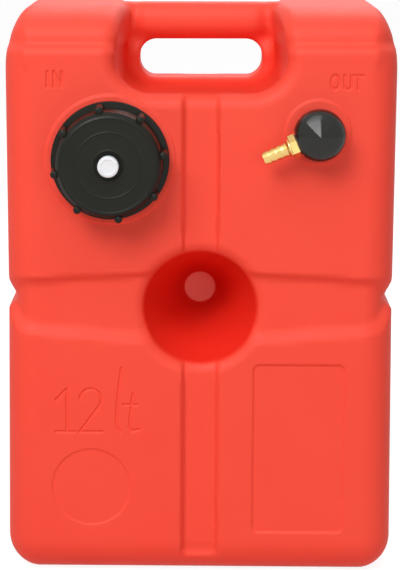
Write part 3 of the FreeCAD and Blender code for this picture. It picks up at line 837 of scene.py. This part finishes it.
def thread_tree():
    graph, given = new_tree("screw_thread", [
        ("Radius", "NodeSocketFloat"), ("Pitch", "NodeSocketFloat"), ("Turns", "NodeSocketFloat"),
        ("Thickness", "NodeSocketFloat"), ("Material", "NodeSocketMaterial"),
    ])
    helix = graph.node("GeometryNodeCurveSpiral", {}, {
        "Resolution": 72, "Rotations": given["Turns"], "Start Radius": given["Radius"],
        "End Radius": given["Radius"], "Height": given["Turns"] * given["Pitch"],
    })
    profile = graph.node("GeometryNodeCurvePrimitiveCircle", {"mode": "RADIUS"}, {
        "Resolution": 10, "Radius": given["Thickness"],
    })
    swept = graph.node("GeometryNodeCurveToMesh", {}, {
        "Curve": helix, "Profile Curve": profile, "Fill Caps": True,
    })
    close_tree(graph, swept, given["Material"])
    return graph


threads = thread_tree()
thread_inputs = [item.name for item in threads.tree.interface.items_tree if item.in_out == "INPUT"]
print("inputs of the thread tree:", thread_inputs)

# %% [markdown]
# ## Red polyethylene
# Blow-moulded polyethylene has a satin skin with a faint orange peel, because the parison cools
# against a sand-blasted mould. The colour drifts a little from place to place. The pinched disc
# in the well, where both walls are pressed into one, is painted the palest of all: painted light
# for the glow through the thin wall. The well and the scoops of the handle get painted shade, a
# deeper red, and have no sheen. The masks for them are limits on the position, each
# given as a pair in metres: where the mask ends, and half the width of its soft edge.

# %% Tank red
GLOW_THROUGH_DISC = (0.0102, 0.0005)
GLOW_THROUGH_DEPTH = (0.006, 0.001)
WELL_RADIUS = (0.037, 0.0015)
WELL_FRONT = (0.0765, 0.002)
SCOOP_SIDE = (0.055, 0.006)
SCOOP_SILL = (0.312, 0.004)
SCOOP_CEILING = (0.347, 0.004)
SCOOP_FRONT = (0.073, 0.006)
SCOOP_WEB = (0.014, 0.003)


def tank_red():
    finish = Finish("red_polyethylene")
    cloudy = finish.noise(11.0, 4.0, 0.6)
    grain = finish.noise(1500.0, 2.0, 0.5)
    peel = finish.noise(260.0, 2.0, 0.5)
    base = finish.mix(cloudy, colour(237, 71, 54), colour(243, 81, 62))
    x, y, z = finish.xyz()
    from_middle = (x * x + (z - WELL_HEIGHT * MM) ** 2) ** 0.5
    # Painted light: the disc in the middle of the well is mixed to a pale pink, for the light that shines
    # through its thin wall.
    disc = from_middle.below(*GLOW_THROUGH_DISC) * abs(y).below(*GLOW_THROUGH_DEPTH)
    # Painted shade: inside the well and the scoops of the handle the red is mixed deeper, for the shade that
    # falls in these hollows. The same masks also turn off the sheen there.
    painted_shade_well = from_middle.below(*WELL_RADIUS) * abs(y).below(*WELL_FRONT)
    painted_shade_scoop = abs(x).below(*SCOOP_SIDE) * (1 - z.below(*SCOOP_SILL)) * z.below(*SCOOP_CEILING)
    painted_shade_scoop = painted_shade_scoop * abs(y).below(*SCOOP_FRONT) * (1 - abs(y).below(*SCOOP_WEB))
    hollow = painted_shade_well.maths("MAXIMUM", painted_shade_well, painted_shade_scoop)
    base = finish.mix(painted_shade_well + 0.45 * painted_shade_scoop, base, colour(230, 46, 32))
    finish.set("Base Color", finish.mix(disc, base, colour(255, 140, 130)))
    finish.set("Specular IOR Level", 0.28 - 0.28 * hollow)
    scuffed = finish.noise(38.0, 5.0, 0.7)
    finish.set("Roughness", 0.47 + 0.14 * scuffed + 0.05 * grain)
    finish.bump(grain * 0.35 + peel * 0.65, 0.12, 0.0006)
    return finish.material


RED = tank_red()
print("made", RED.name)

# %% [markdown]
# ## The shell as one closed piece
# The real shell is a bottle: an outside, an inside 2.8 mm further in, and two necks that open it.
# The inside is the same field, pushed in by the wall. Boolean modifiers with the Manifold solver
# join the necks and cut the inside and the bores, which gives one closed mesh.

# %% Inside, necks and bores
NECK_RADIUS = 25.0
NECK_BORE = 21.5
NECK_LENGTH = 24.0
OUTLET_NECK = 11.5
OUTLET_BORE = 8.6
OUTLET_NECK_LENGTH = 7.0
NECK_ROOT = 1.5
BORE_DEPTH = 12.0
BORE_PAST = 4.0
THREAD = 1.5
THREAD_PITCH = 4.0
THREAD_TURNS = 3.0
OUTLET_THREAD_PITCH = 2.0
OUTLET_THREAD_TURNS = 1.0
SOLID_HALF_WIDTH = 66
SOLID_BASE = 306
SOLID_HALF_DEPTH = 20


def inside_field(x, y, z):
    """The fuel space. The web and the pinched disc stay solid."""
    web = np.maximum(np.abs(x) - SOLID_HALF_WIDTH, SOLID_BASE - z)
    web = np.maximum(web, np.abs(y) - SOLID_HALF_DEPTH)
    return np.maximum(tank_body(x, y, z) + WALL, -web)


inner_points, inner_quads = surface_net(inside_field, LOW, HIGH, 5.2)
inner_points = settle(inner_points, inside_field, rounds=2)
inside = as_object("inside", mesh_from("inside", inner_points, inner_quads))


def tube_object(name, axis, radius, low, high, segments=96):
    work = bmesh.new()
    section = rounded([(0.0, low, 0), (radius, low, 0), (radius, high, 0.5), (0.0, high, 0)])
    spun(work, section, axis, segments)
    tidy(work)
    return as_object(name, from_work(name, work))


def neck_with_thread(name, axis, radius, length, pitch, turns):
    neck = tube_object(name, axis, radius, -NECK_ROOT, length)
    thread = grown(name + "_thread", threads, {
        "Radius": radius, "Pitch": pitch, "Turns": turns, "Thickness": THREAD, "Material": RED,
    })
    start = length - 3.0 - pitch * turns
    place = [axis.point(v.co.x, v.co.y, start + v.co.z) for v in thread.vertices]
    thread.vertices.foreach_set("co", np.array(place).ravel())
    ridge = as_object(name + "_thread", thread)
    return neck, ridge


filler_neck, filler_thread = neck_with_thread(
    "neck_in", FILLER_AXIS, NECK_RADIUS, NECK_LENGTH, THREAD_PITCH, THREAD_TURNS
)
outlet_neck, outlet_thread = neck_with_thread(
    "neck_out", HEAD_AXIS, OUTLET_NECK, OUTLET_NECK_LENGTH, OUTLET_THREAD_PITCH, OUTLET_THREAD_TURNS
)
filler_bore = tube_object("bore_in", FILLER_AXIS, NECK_BORE, -BORE_DEPTH, NECK_LENGTH + BORE_PAST)
outlet_bore = tube_object("bore_out", HEAD_AXIS, OUTLET_BORE, -BORE_DEPTH, OUTLET_NECK_LENGTH + BORE_PAST)
tank = as_object("tank_shell", outside)

# %% Join and cut


def combine(target, tool, operation):
    modifier = target.modifiers.new(tool.name, "BOOLEAN")
    modifier.object = tool
    modifier.operation = operation
    modifier.solver = "MANIFOLD"


def bake(item, helpers):
    """Gives the item the mesh that its modifiers make, and removes the tools they used."""
    result = bpy.data.meshes.new_from_object(item.evaluated_get(bpy.context.evaluated_depsgraph_get()))
    item.modifiers.clear()
    item.data = result
    for helper in helpers:
        bpy.data.objects.remove(helper)


joined = (filler_neck, filler_thread, outlet_neck, outlet_thread)
cutters = (inside, filler_bore, outlet_bore)
for neck_part in joined:
    combine(tank, neck_part, "UNION")
for cutter in cutters:
    combine(tank, cutter, "DIFFERENCE")
bake(tank, joined + cutters)
print("triangles of the shell:", sum(len(p.vertices) - 2 for p in tank.data.polygons))

# %% [markdown]
# ## Shading from the field itself
# Small flat faces shade in steps. The field knows the true slope at every point, so each corner of
# a face gets the field's own direction as its normal, unless the face belongs to a bore or a sharp
# edge, where its own direction is far from the field's.

# %% Exact normals


def shade_from_field(data, field, limit=0.80):
    count = len(data.vertices)
    points = np.empty(count * 3)
    data.vertices.foreach_get("co", points)
    points = points.reshape(-1, 3) / MM
    gradient = slope(field, points)
    gradient /= np.maximum(np.linalg.norm(gradient, axis=1), 1e-6)[:, None]
    on_surface = np.abs(field(*points.T)) < 0.25
    face_normals = np.empty(len(data.polygons) * 3)
    data.polygons.foreach_get("normal", face_normals)
    face_normals = face_normals.reshape(-1, 3)
    sizes = np.empty(len(data.polygons), int)
    data.polygons.foreach_get("loop_total", sizes)
    corner_vertex = np.empty(len(data.loops), int)
    data.loops.foreach_get("vertex_index", corner_vertex)
    corner_face = np.repeat(face_normals, sizes, axis=0)
    wanted = gradient[corner_vertex]
    agrees = (wanted * corner_face).sum(1) > limit
    use = agrees & on_surface[corner_vertex]
    normals = np.where(use[:, None], wanted, corner_face)
    data.polygons.foreach_set("use_smooth", np.ones(len(data.polygons), bool))
    data.normals_split_custom_set(normals)
    return use.mean()


print("corners shaded by the field:", round(float(shade_from_field(tank.data, tank_surface)), 3))
tank.data.materials.clear()
tank.data.materials.append(RED)
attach(tank, "tank")
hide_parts("front_shell", "rear_shell", "filler_neck", "outlet_neck")

# %% [markdown]
# ## Black screw cap
# The cap is one moulding in black polypropylene: a flange at the foot, a skirt, and a flat top with
# two faint turned rings. Eight posts for the fingers stand round the skirt. The posts repeat, so a
# Geometry Nodes tree places them: a circle of points, one post at each point.

# %% Black plastic


def black_plastic(name, gloss, base, lighter, roughness, grain_scale):
    finish = Finish(name, Specular_IOR_Level=gloss)
    cloudy = finish.noise(60.0, 4.0, 0.65)
    grain = finish.noise(grain_scale, 2.0, 0.5)
    finish.set("Base Color", finish.mix(cloudy, base, lighter))
    finish.set("Roughness", roughness + 0.16 * cloudy + 0.06 * grain)
    finish.bump(grain, 0.18, 0.0003)
    return finish.material


CAP_BLACK = black_plastic("black_polypropylene", 0.2, colour(12, 13, 6), colour(20, 21, 12), 0.3, 1300.0)

# %% Cap profile and posts
CAP_FOOT = 2.7
CAP_FLANGE = 37.4
CAP_SHELF = 5.7
CAP_SKIRT = 33.0
CAP_TOP = 30.0
CAP_FACE = CAP_TOP - 0.35
RING_TOP = CAP_TOP - 0.15
RIM_TOP = CAP_TOP - 0.02
CAP_UNDER = 26.45
CAP_DISC = 29.7
CAP_BORE = 26.95
PLUG = 20.5
PLUG_WALL = 2.5
PLUG_FOOT = 22.4
DISH = 8.9
DISH_FLOOR = 28.4
VENT_HOLE = 3.05
POSTS = 8
POST_CIRCLE = 34.3
POST_RADIUS = 2.5
POST_TOP = 26.6
POST_ANGLE = 10.0

cap_section = rounded([
    (CAP_BORE, CAP_FOOT, 0.2), (CAP_FLANGE, CAP_FOOT, 0.5), (CAP_FLANGE, CAP_SHELF, 0.8),
    (CAP_SKIRT + 0.6, CAP_SHELF, 0.8), (CAP_SKIRT, CAP_TOP - 3.2, 1.2), (CAP_DISC + 1.2, CAP_TOP - 0.6, 0.9),
    (CAP_DISC - 0.1, CAP_TOP - 0.05, 0.25), (CAP_DISC - 0.9, CAP_FACE, 0.3),
    (21.4, CAP_FACE, 0.2), (20.9, RING_TOP, 0.2), (20.2, RING_TOP, 0.2),
    (19.7, CAP_FACE, 0.2), (10.2, CAP_FACE, 0.3), (9.8, RIM_TOP, 0.3),
    (DISH, RIM_TOP, 0.3), (DISH, DISH_FLOOR, 0.3), (VENT_HOLE, DISH_FLOOR, 0.1),
    (VENT_HOLE, CAP_UNDER, 0.1), (PLUG - PLUG_WALL, CAP_UNDER, 0.3), (PLUG - PLUG_WALL, PLUG_FOOT, 0.3),
    (PLUG, PLUG_FOOT, 0.5), (PLUG, CAP_UNDER, 0.2), (CAP_BORE, CAP_UNDER, 0.3),
], 3)


def post_tree():
    graph, given = new_tree("cap_posts", [
        ("Count", "NodeSocketInt"), ("Circle", "NodeSocketFloat"), ("Radius", "NodeSocketFloat"),
        ("Length", "NodeSocketFloat"), ("Turn", "NodeSocketFloat"), ("Material", "NodeSocketMaterial"),
    ])
    circle = graph.node("GeometryNodeMeshCircle", {"fill_type": "NONE"}, {
        "Vertices": given["Count"], "Radius": given["Circle"],
    })
    height = given["Length"]
    shaft = graph.node("GeometryNodeMeshCylinder", {"fill_type": "NGON"}, {
        "Vertices": 20, "Radius": given["Radius"], "Depth": height, "Side Segments": 3,
    })
    ball = graph.node("GeometryNodeMeshUVSphere", {}, {
        "Segments": 20, "Rings": 10, "Radius": given["Radius"],
    })
    middle = graph.node("ShaderNodeCombineXYZ", {}, {"Z": height / 2})
    tip = graph.node("ShaderNodeCombineXYZ", {}, {"Z": height})
    raised = graph.node("GeometryNodeTransform", {}, {"Geometry": shaft, "Translation": middle})
    capped = graph.node("GeometryNodeTransform", {}, {
        "Geometry": ball, "Translation": tip, "Scale": (1.0, 1.0, 0.45),
    })
    join = graph.tree.nodes.new("GeometryNodeJoinGeometry")
    graph.tree.links.new(raised.socket, join.inputs[0])
    graph.tree.links.new(capped.socket, join.inputs[0])
    posts = graph.node("GeometryNodeInstanceOnPoints", {}, {
        "Points": circle, "Instance": Wire(graph, join.outputs[0]),
    })
    spin = graph.node("ShaderNodeCombineXYZ", {}, {"Z": given["Turn"]})
    turned = graph.node("GeometryNodeTransform", {}, {"Geometry": posts, "Rotation": spin})
    close_tree(graph, turned, given["Material"])
    return graph


post_mesh = grown("cap_posts", post_tree(), {
    "Count": POSTS, "Circle": POST_CIRCLE, "Radius": POST_RADIUS, "Length": POST_TOP - CAP_SHELF + 0.5,
    "Turn": math.radians(POST_ANGLE), "Material": CAP_BLACK,
})
print("faces of the posts:", len(post_mesh.polygons))

# %% Cap and its posts in one mesh


def add_mesh(work, data, axis, start):
    """Adds a mesh that was made along Z to a bmesh, laid along the axis."""
    known = [work.verts.new(axis.point(v.co.x, v.co.y, start + v.co.z)) for v in data.vertices]
    for face in data.polygons:
        work.faces.new([known[i] for i in face.vertices])


cap_work = bmesh.new()
spun(cap_work, cap_section, FILLER_AXIS, 144)
add_mesh(cap_work, post_mesh, FILLER_AXIS, CAP_SHELF - 0.5)
tidy(cap_work)
cap = as_object("filler_cap_finished", from_work("filler_cap_finished", cap_work))
cap.data.materials.append(CAP_BLACK)
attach(cap, "cap")
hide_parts("filler_cap")
print("cap faces:", len(cap.data.polygons))

# %% [markdown]
# ## White vent screw
# The vent screw is a small white moulding. Its head has a domed top with a shallow recess, and a
# rounded rim, which a plain cylinder would miss.

# %% Vent screw
VENT_LOW = DISH_FLOOR + 1.5
VENT_HIGH = VENT_LOW + 6.0
VENT_HEAD = 6.6
VENT_SHANK = 3.0
VENT_END = VENT_LOW - 11.5
CLIP_LOW = 22.5
CLIP_HIGH = 23.3
CLIP_GROOVE = 2.4


def mottled(finish, scale, first, second, roughness, change, grain=0.0, strength=0.0):
    """Two tones in soft clouds, a roughness that drifts with them, and a fine grain if one is given."""
    cloudy = finish.noise(scale, 3.0, 0.6)
    finish.set("Base Color", finish.mix(cloudy, colour(*first), colour(*second)))
    finish.set("Roughness", roughness + change * cloudy)
    if grain:
        finish.bump(finish.noise(grain, 2.0), strength, 0.0002)
    return finish.material


VENT_WHITE = mottled(
    Finish("white_acetal"), 240.0, (216, 226, 232), (232, 240, 244), 0.34, 0.14, 1800.0, 0.1
)
vent_work = bmesh.new()
spun(vent_work, rounded([
    (0.0, VENT_END, 0), (VENT_SHANK, VENT_END, 0.5), (VENT_SHANK, CLIP_LOW, 0.05),
    (CLIP_GROOVE, CLIP_LOW, 0.05), (CLIP_GROOVE, CLIP_HIGH, 0.05), (VENT_SHANK, CLIP_HIGH, 0.05),
    (VENT_SHANK, VENT_LOW, 0.1),
    (VENT_HEAD, VENT_LOW, 0.4), (VENT_HEAD, VENT_HIGH - 0.2, 1.3), (4.6, VENT_HIGH, 0.3),
    (4.2, VENT_HIGH - 0.3, 0.3), (0.0, VENT_HIGH - 0.3, 0),
]), FILLER_AXIS, 64)
tidy(vent_work)
vent = as_object("vent_screw_finished", from_work("vent_screw_finished", vent_work))
vent.data.materials.append(VENT_WHITE)
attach(vent, "vent")
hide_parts("vent_screw")

# %% [markdown]
# ## Faceted outlet head
# The outlet head is a glossy black dome with eight soft facets that meet in a point. Its side is
# cut flat where the barb leaves. The dome is a grid of rings: the distance to the axis follows a
# curve with the height, and a facet factor pulls each ring from a circle towards an octagon.

# %% Dome
HEAD_FOOT = 2.2
HEAD_UNDER = 8.6
HEAD_TOP = 29.5
HEAD_BORE = 11.85
HEAD_FLAT = 13.7
SPIGOT = 4.0
SPIGOT_BORE = 2.6
SPIGOT_FOOT = -0.4
SIDE_BORE = 2.4
SOCKET = 4.85
SOCKET_FLOOR = HEAD_FLAT - 6.8
FACETS = 8
BARB_ANGLE = math.radians(203.0)
BARB_HEIGHT = 15.5
DOME = [
    (14.2, 2.2, 0.0), (14.6, 2.6, 0.0), (14.7, 8.6, 0.0), (15.2, 9.6, 0.0), (16.1, 10.6, 0.0),
    (16.3, 12.6, 0.0), (16.3, 14.6, 0.0), (16.2, 16.6, 0.0), (15.9, 18.6, 0.05), (15.3, 20.4, 0.25),
    (14.3, 22.0, 0.55), (12.6, 23.4, 0.85), (10.4, 24.6, 1.0), (8.3, 25.7, 1.0), (6.2, 26.8, 1.0),
    (4.1, 27.8, 1.0), (2.2, 28.7, 1.0), (1.0, 29.2, 1.0), (0.4, 29.4, 1.0),
]


def facet_radius(angle, radius, share):
    """Pulls a circle towards an octagon with slightly rounded edges."""
    sector = 2 * math.pi / FACETS
    off = (angle % sector) - sector / 2
    flat_sided = math.cos(sector / 2) / math.cos(off)
    soft_edge = 1 - 0.006 * math.exp(-(((sector / 2 - abs(off)) / 0.035) ** 2))
    return radius * (1 - share + share * flat_sided * soft_edge)


def dome_mesh(work, axis, segments=192):
    rings = []
    for radius, height, share in DOME:
        ring = []
        for step in range(segments):
            angle = 2 * math.pi * step / segments
            r = facet_radius(angle, radius, share)
            ring.append(work.verts.new(axis.point(r * math.cos(angle), r * math.sin(angle), height)))
        rings.append(ring)
    for low_ring, high_ring in zip(rings, rings[1:]):
        for i in range(segments):
            j = (i + 1) % segments
            work.faces.new((low_ring[i], low_ring[j], high_ring[j], high_ring[i]))
    tip = work.verts.new(axis.point(0, 0, HEAD_TOP))
    foot = work.verts.new(axis.point(0, 0, DOME[0][1]))
    for i in range(segments):
        j = (i + 1) % segments
        work.faces.new((rings[-1][i], rings[-1][j], tip))
        work.faces.new((rings[0][j], rings[0][i], foot))


HEAD_BLACK = black_plastic("black_nylon", 0.4, colour(9, 11, 7), colour(17, 19, 13), 0.15, 900.0)
barb_direction = HEAD_AXIS.across * math.cos(BARB_ANGLE) + HEAD_AXIS.up * math.sin(BARB_ANGLE)
BARB_AXIS = Axis(HEAD_AXIS.point(0, 0, BARB_HEIGHT), barb_direction, HEAD_AXIS.along)

dome_work = bmesh.new()
dome_mesh(dome_work, HEAD_AXIS)
tidy(dome_work, 60)
cut_point = BARB_AXIS.point(0, 0, HEAD_FLAT)
whole = list(dome_work.verts) + list(dome_work.edges) + list(dome_work.faces)
cut = bmesh.ops.bisect_plane(
    dome_work, geom=whole, dist=0.0001, plane_co=cut_point, plane_no=barb_direction, clear_outer=True
)
rim = [e for e in cut["geom_cut"] if isinstance(e, bmesh.types.BMEdge)]
bmesh.ops.edgeloop_fill(dome_work, edges=rim)
for edge in rim:
    edge.smooth = False
head = as_object("outlet_head_finished", from_work("outlet_head_finished", dome_work))
print("dome faces:", len(head.data.polygons), "edges of the cut:", len(rim))

# %% Bores of the head
hollow = tube_object("head_hollow", HEAD_AXIS, HEAD_BORE, HEAD_FOOT - 3, HEAD_UNDER)
spigot = tube_object("head_spigot", HEAD_AXIS, SPIGOT, SPIGOT_FOOT, HEAD_UNDER + 1, 48)
fuel_way = tube_object("head_fuel_way", HEAD_AXIS, SPIGOT_BORE, SPIGOT_FOOT - 2, BARB_HEIGHT, 40)
side_way = tube_object("head_side_way", BARB_AXIS, SIDE_BORE, 0.0, HEAD_FLAT + 2, 40)
socket_way = tube_object("head_socket", BARB_AXIS, SOCKET, SOCKET_FLOOR, HEAD_FLAT + 2, 48)
ways = (fuel_way, side_way, socket_way)
combine(head, hollow, "DIFFERENCE")
combine(head, spigot, "UNION")
for way in ways:
    combine(head, way, "DIFFERENCE")
bake(head, (hollow, spigot) + ways)
print("head faces:", len(head.data.polygons))


def crease(item, degrees):
    """Marks the edges that are sharper than the angle, so that the rest shades smoothly."""
    work = bmesh.new()
    work.from_mesh(item.data)
    for face in work.faces:
        face.smooth = True
    for edge in work.edges:
        edge.smooth = edge.calc_face_angle(0) < math.radians(degrees)
    work.to_mesh(item.data)
    work.free()


crease(head, 35)
head.data.materials.clear()
head.data.materials.append(HEAD_BLACK)
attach(head, "outlet")
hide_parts("outlet_head")

# %% [markdown]
# ## Brass hose barb
# The barb is turned from hexagon bar: a hexagon with chamfered corners, and four cone-shaped teeth
# that grip the hose. The teeth repeat along a line, so Geometry Nodes drills one cone and puts it at
# each point. The hexagon and the bored core are drawn one by one.

# %% Brass


def brass():
    finish = Finish("turned_brass", Metallic=1.0)
    cloudy = finish.noise(420.0, 4.0, 0.6)
    tarnish = finish.noise(150.0, 3.0, 0.6)
    base = finish.mix(cloudy, colour(222, 186, 108), colour(240, 212, 142))
    finish.set("Base Color", finish.mix(0.35 * tarnish, base, colour(170, 122, 62)))
    finish.set("Roughness", 0.2 + 0.2 * cloudy)
    finish.bump(finish.noise(2600.0, 2.0), 0.15, 0.0002)
    return finish.material


BRASS = brass()

# %% Barb teeth
BARB_SEAT = 14.5
HEX_LENGTH = 5.0
HEX_ACROSS = 13.0
BARB_CORE = 3.8
BARB_CREST = 4.75
BARB_TEETH = 4
BARB_LAND = 2.4
BARB_TOOTH = 4.0
BARB_BORE = 2.4
BARB_PLUG = 4.8
BARB_PLUG_FOOT = HEAD_FLAT - 6.6
BARB_COLLAR = 5.9
HEX_BORE = 4.0


def tooth_tree():
    graph, given = new_tree("barb_teeth", [
        ("Teeth", "NodeSocketInt"), ("Pitch", "NodeSocketFloat"), ("Core", "NodeSocketFloat"),
        ("Crest", "NodeSocketFloat"), ("Material", "NodeSocketMaterial"),
    ])
    pitch = given["Pitch"]
    spots = graph.node("GeometryNodeMeshLine", {"mode": "OFFSET", "count_mode": "TOTAL"}, {
        "Count": given["Teeth"], "Offset": graph.node("ShaderNodeCombineXYZ", {}, {"Z": pitch}),
    })
    cone = graph.node("GeometryNodeMeshCone", {"fill_type": "NGON"}, {
        "Vertices": 48, "Radius Top": given["Core"], "Radius Bottom": given["Crest"], "Depth": pitch * 0.96,
    })
    drill = graph.node("GeometryNodeMeshCylinder", {"fill_type": "NGON"}, {
        "Vertices": 48, "Radius": given["Core"] - 0.3, "Depth": pitch * 4,
    })
    ring = graph.node("GeometryNodeMeshBoolean", {"operation": "DIFFERENCE"}, {
        "Mesh 1": cone, "Mesh 2": drill,
    })
    teeth = graph.node("GeometryNodeInstanceOnPoints", {}, {"Points": spots, "Instance": ring})
    close_tree(graph, teeth, given["Material"])
    return graph


teeth_mesh = grown("barb_teeth", tooth_tree(), {
    "Teeth": BARB_TEETH, "Pitch": BARB_TOOTH, "Core": BARB_CORE, "Crest": BARB_CREST, "Material": BRASS,
})
print("faces of the teeth:", len(teeth_mesh.polygons))

# %% Hexagon and shank


def hexagon(work, axis, low, high, across_flats, bore):
    """A hexagon nut with chamfered corners, drawn in three layers with a bore."""
    layers = [(low, 0.95), (low + 0.45, 1.0), (high - 0.45, 1.0), (high, 0.93)]
    corners = across_flats / math.sqrt(3)

    def ring(radius, height):
        turns = [math.pi / 3 * (step + 0.5) for step in range(6)]
        spots = [axis.point(radius * math.cos(turn), radius * math.sin(turn), height) for turn in turns]
        return [work.verts.new(spot) for spot in spots]

    outer = [ring(corners * share, height) for height, share in layers]
    inner = [ring(bore, height) for height in (low, high)]
    for i in range(6):
        j = (i + 1) % 6
        for low_ring, high_ring in zip(outer, outer[1:]):
            work.faces.new((low_ring[i], low_ring[j], high_ring[j], high_ring[i]))
        work.faces.new((outer[0][j], outer[0][i], inner[0][i], inner[0][j]))
        work.faces.new((outer[-1][i], outer[-1][j], inner[1][j], inner[1][i]))
        work.faces.new((inner[0][j], inner[0][i], inner[1][i], inner[1][j]))


barb_work = bmesh.new()
hex_end = BARB_SEAT + HEX_LENGTH
barb_tip = hex_end + BARB_LAND + BARB_TEETH * BARB_TOOTH
add_mesh(barb_work, teeth_mesh, BARB_AXIS, hex_end + BARB_LAND)
hexagon(barb_work, BARB_AXIS, BARB_SEAT, hex_end, HEX_ACROSS, HEX_BORE)
spun(barb_work, rounded([
    (BARB_BORE, BARB_PLUG_FOOT, 0.1), (BARB_PLUG, BARB_PLUG_FOOT, 0.4), (BARB_PLUG, BARB_SEAT, 0),
    (BARB_COLLAR, hex_end - 0.5, 0), (BARB_COLLAR, hex_end + 0.8, 0.4),
    (BARB_CORE + 0.4, hex_end + BARB_LAND, 0.2), (BARB_CORE, barb_tip, 0.7), (BARB_BORE, barb_tip, 0.2),
]), BARB_AXIS, 48)
tidy(barb_work, 28)
barb = as_object("hose_barb_finished", from_work("hose_barb_finished", barb_work))
barb.data.materials.append(BRASS)
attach(barb, "outlet")
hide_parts("hose_barb")
print("barb faces:", len(barb.data.polygons))

# %% [markdown]
# ## Finishes for the pieces that stay as solids
# Gaskets, washers, the clip, the pickup tube and the strainer keep their solids from the frame,
# because their shape is exact already. Each still gets a finish of its own: soft black rubber,
# spring steel, clear-grey tube and white nylon.

# %% Rubber, steel, tube and nylon
WEAVE_PITCH = 0.0007


def rubber(name, base):
    lighter = [part + 14 for part in base]
    return mottled(Finish(name), 300.0, base, lighter, 0.62, 0.2, 1900.0, 0.3)


def nylon(name, base, roughness):
    lighter = [part + 10 for part in base]
    return mottled(Finish(name), 180.0, base, lighter, roughness, 0.12, 1500.0, 0.12)


def steel():
    metal = Finish("spring_steel", Metallic=1.0)
    return mottled(metal, 700.0, (160, 162, 166), (196, 198, 202), 0.22, 0.22)


def woven_mesh():
    """A fine woven net: threads cross at right angles round and along the sleeve."""
    finish = Finish("woven_strainer_mesh")
    waves = []
    for wire in finish.xyz():
        turns = wire * (math.pi / WEAVE_PITCH)
        waves.append(turns.maths("SINE", turns))
    across, along, upright = waves
    weave = abs(across * upright) * 0.5 + abs(along) * 0.5
    finish.set("Base Color", finish.mix(weave, colour(120, 124, 120), colour(222, 224, 218)))
    finish.set("Roughness", 0.45 + 0.2 * weave)
    finish.bump(weave, 0.5, 0.0002)
    return finish.material


BLACK_RUBBER = rubber("black_nitrile_rubber", (26, 26, 26))
KEPT = {
    "filler_gasket": BLACK_RUBBER,
    "outlet_gasket": BLACK_RUBBER,
    "vent_seal": rubber("grey_nitrile_rubber", (58, 58, 60)),
    "barb_washer": rubber("dark_fibre_washer", (44, 30, 26)),
    "vent_clip": steel(),
    "pickup_tube": nylon("grey_polyethylene_tube", (150, 152, 150), 0.34),
    "strainer_body": nylon("white_nylon", (214, 214, 206), 0.42),
    "strainer_mesh": woven_mesh(),
}
for node_name, material in KEPT.items():
    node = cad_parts[node_name]
    node.data.materials.clear()
    node.data.materials.append(material)
print("solids with a finish of their own:", sorted(KEPT))

# %% [markdown]
# ## Floor, sky and lamps
# The tank was photographed on white, in soft light from the front and the upper left. The floor is
# white for the camera and for gloss, and warm for light that bounces, so that the underside of the
# tank stays as deep a red as in the picture. It still takes the tank's shadow.

# %% Floor and sky
FLOOR_GLOW = 0.88
FLOOR_SHADE = (0.32, 0.32, 0.32, 1)
FLOOR_BOUNCE = (0.7, 0.46, 0.4, 1)
FLOOR_REACH = 9.0
SKY_LEVEL = 0.29


def seen(graph):
    """One for rays that the viewer follows: straight, mirrored or through glass."""
    path = graph.node("ShaderNodeLightPath")
    outputs = path.socket.node.outputs
    direct = Wire(graph, outputs["Is Camera Ray"])
    mirrored = Wire(graph, outputs["Is Glossy Ray"])
    through = Wire(graph, outputs["Is Transmission Ray"])
    return direct.maths("MAXIMUM", direct.maths("MAXIMUM", direct, mirrored), through)


def floor_paint():
    finish = Finish("studio_floor")
    graph = Graph(finish.tree)
    glow = graph.node("ShaderNodeEmission", {}, {"Color": (1, 1, 1, 1), "Strength": FLOOR_GLOW})
    shaded = graph.node("ShaderNodeBsdfDiffuse", {}, {"Color": FLOOR_SHADE})
    white = graph.node("ShaderNodeAddShader", {}, {0: glow, 1: shaded})
    plain = graph.node("ShaderNodeBsdfDiffuse", {}, {"Color": FLOOR_BOUNCE})
    mixed = graph.node("ShaderNodeMixShader", {}, {0: seen(graph), 1: plain, 2: white})
    graph.feed(finish.tree.nodes["Material Output"].inputs["Surface"], mixed)
    return finish.material


floor_corners = [(a * FLOOR_REACH, b * FLOOR_REACH, 0) for a, b in ((-1, -1), (1, -1), (1, 1), (-1, 1))]
floor = bpy.data.objects.new("floor", mesh_from("floor", floor_corners, [(0, 1, 2, 3)]))
scene.collection.objects.link(floor)
floor.data.materials.append(floor_paint())

world = bpy.data.worlds.new("studio")
scene.world = world
world.use_nodes = True
sky = Graph(world.node_tree)
backdrop = world.node_tree.nodes["Background"]
backdrop.inputs["Color"].default_value = (1, 1, 1, 1)
sky.feed(backdrop.inputs["Strength"], SKY_LEVEL + (1 - SKY_LEVEL) * seen(sky))

# %% Lamps


def lamp(name, place, target, width, height, watts):
    data = bpy.data.lights.new(name, "AREA")
    data.shape = "RECTANGLE"
    data.size = width
    data.size_y = height
    data.energy = watts
    item = bpy.data.objects.new(name, data)
    item.location = place
    item.rotation_euler = (Vector(target) - Vector(place)).to_track_quat("-Z", "Y").to_euler()
    scene.collection.objects.link(item)
    return item


MIDDLE = (0.0, 0.0, 0.19)
lamp("key", (-0.85, -1.85, 1.77), MIDDLE, 1.25, 1.0, 36.5)
lamp("top_light", (-0.1, -0.95, 2.1), MIDDLE, 1.6, 0.8, 11)
lamp("fill", (0.7, -2.3, 0.5), MIDDLE, 1.6, 1.2, 8)
lamp("back_light", (0.3, 1.6, 1.6), MIDDLE, 1.2, 0.8, 11)
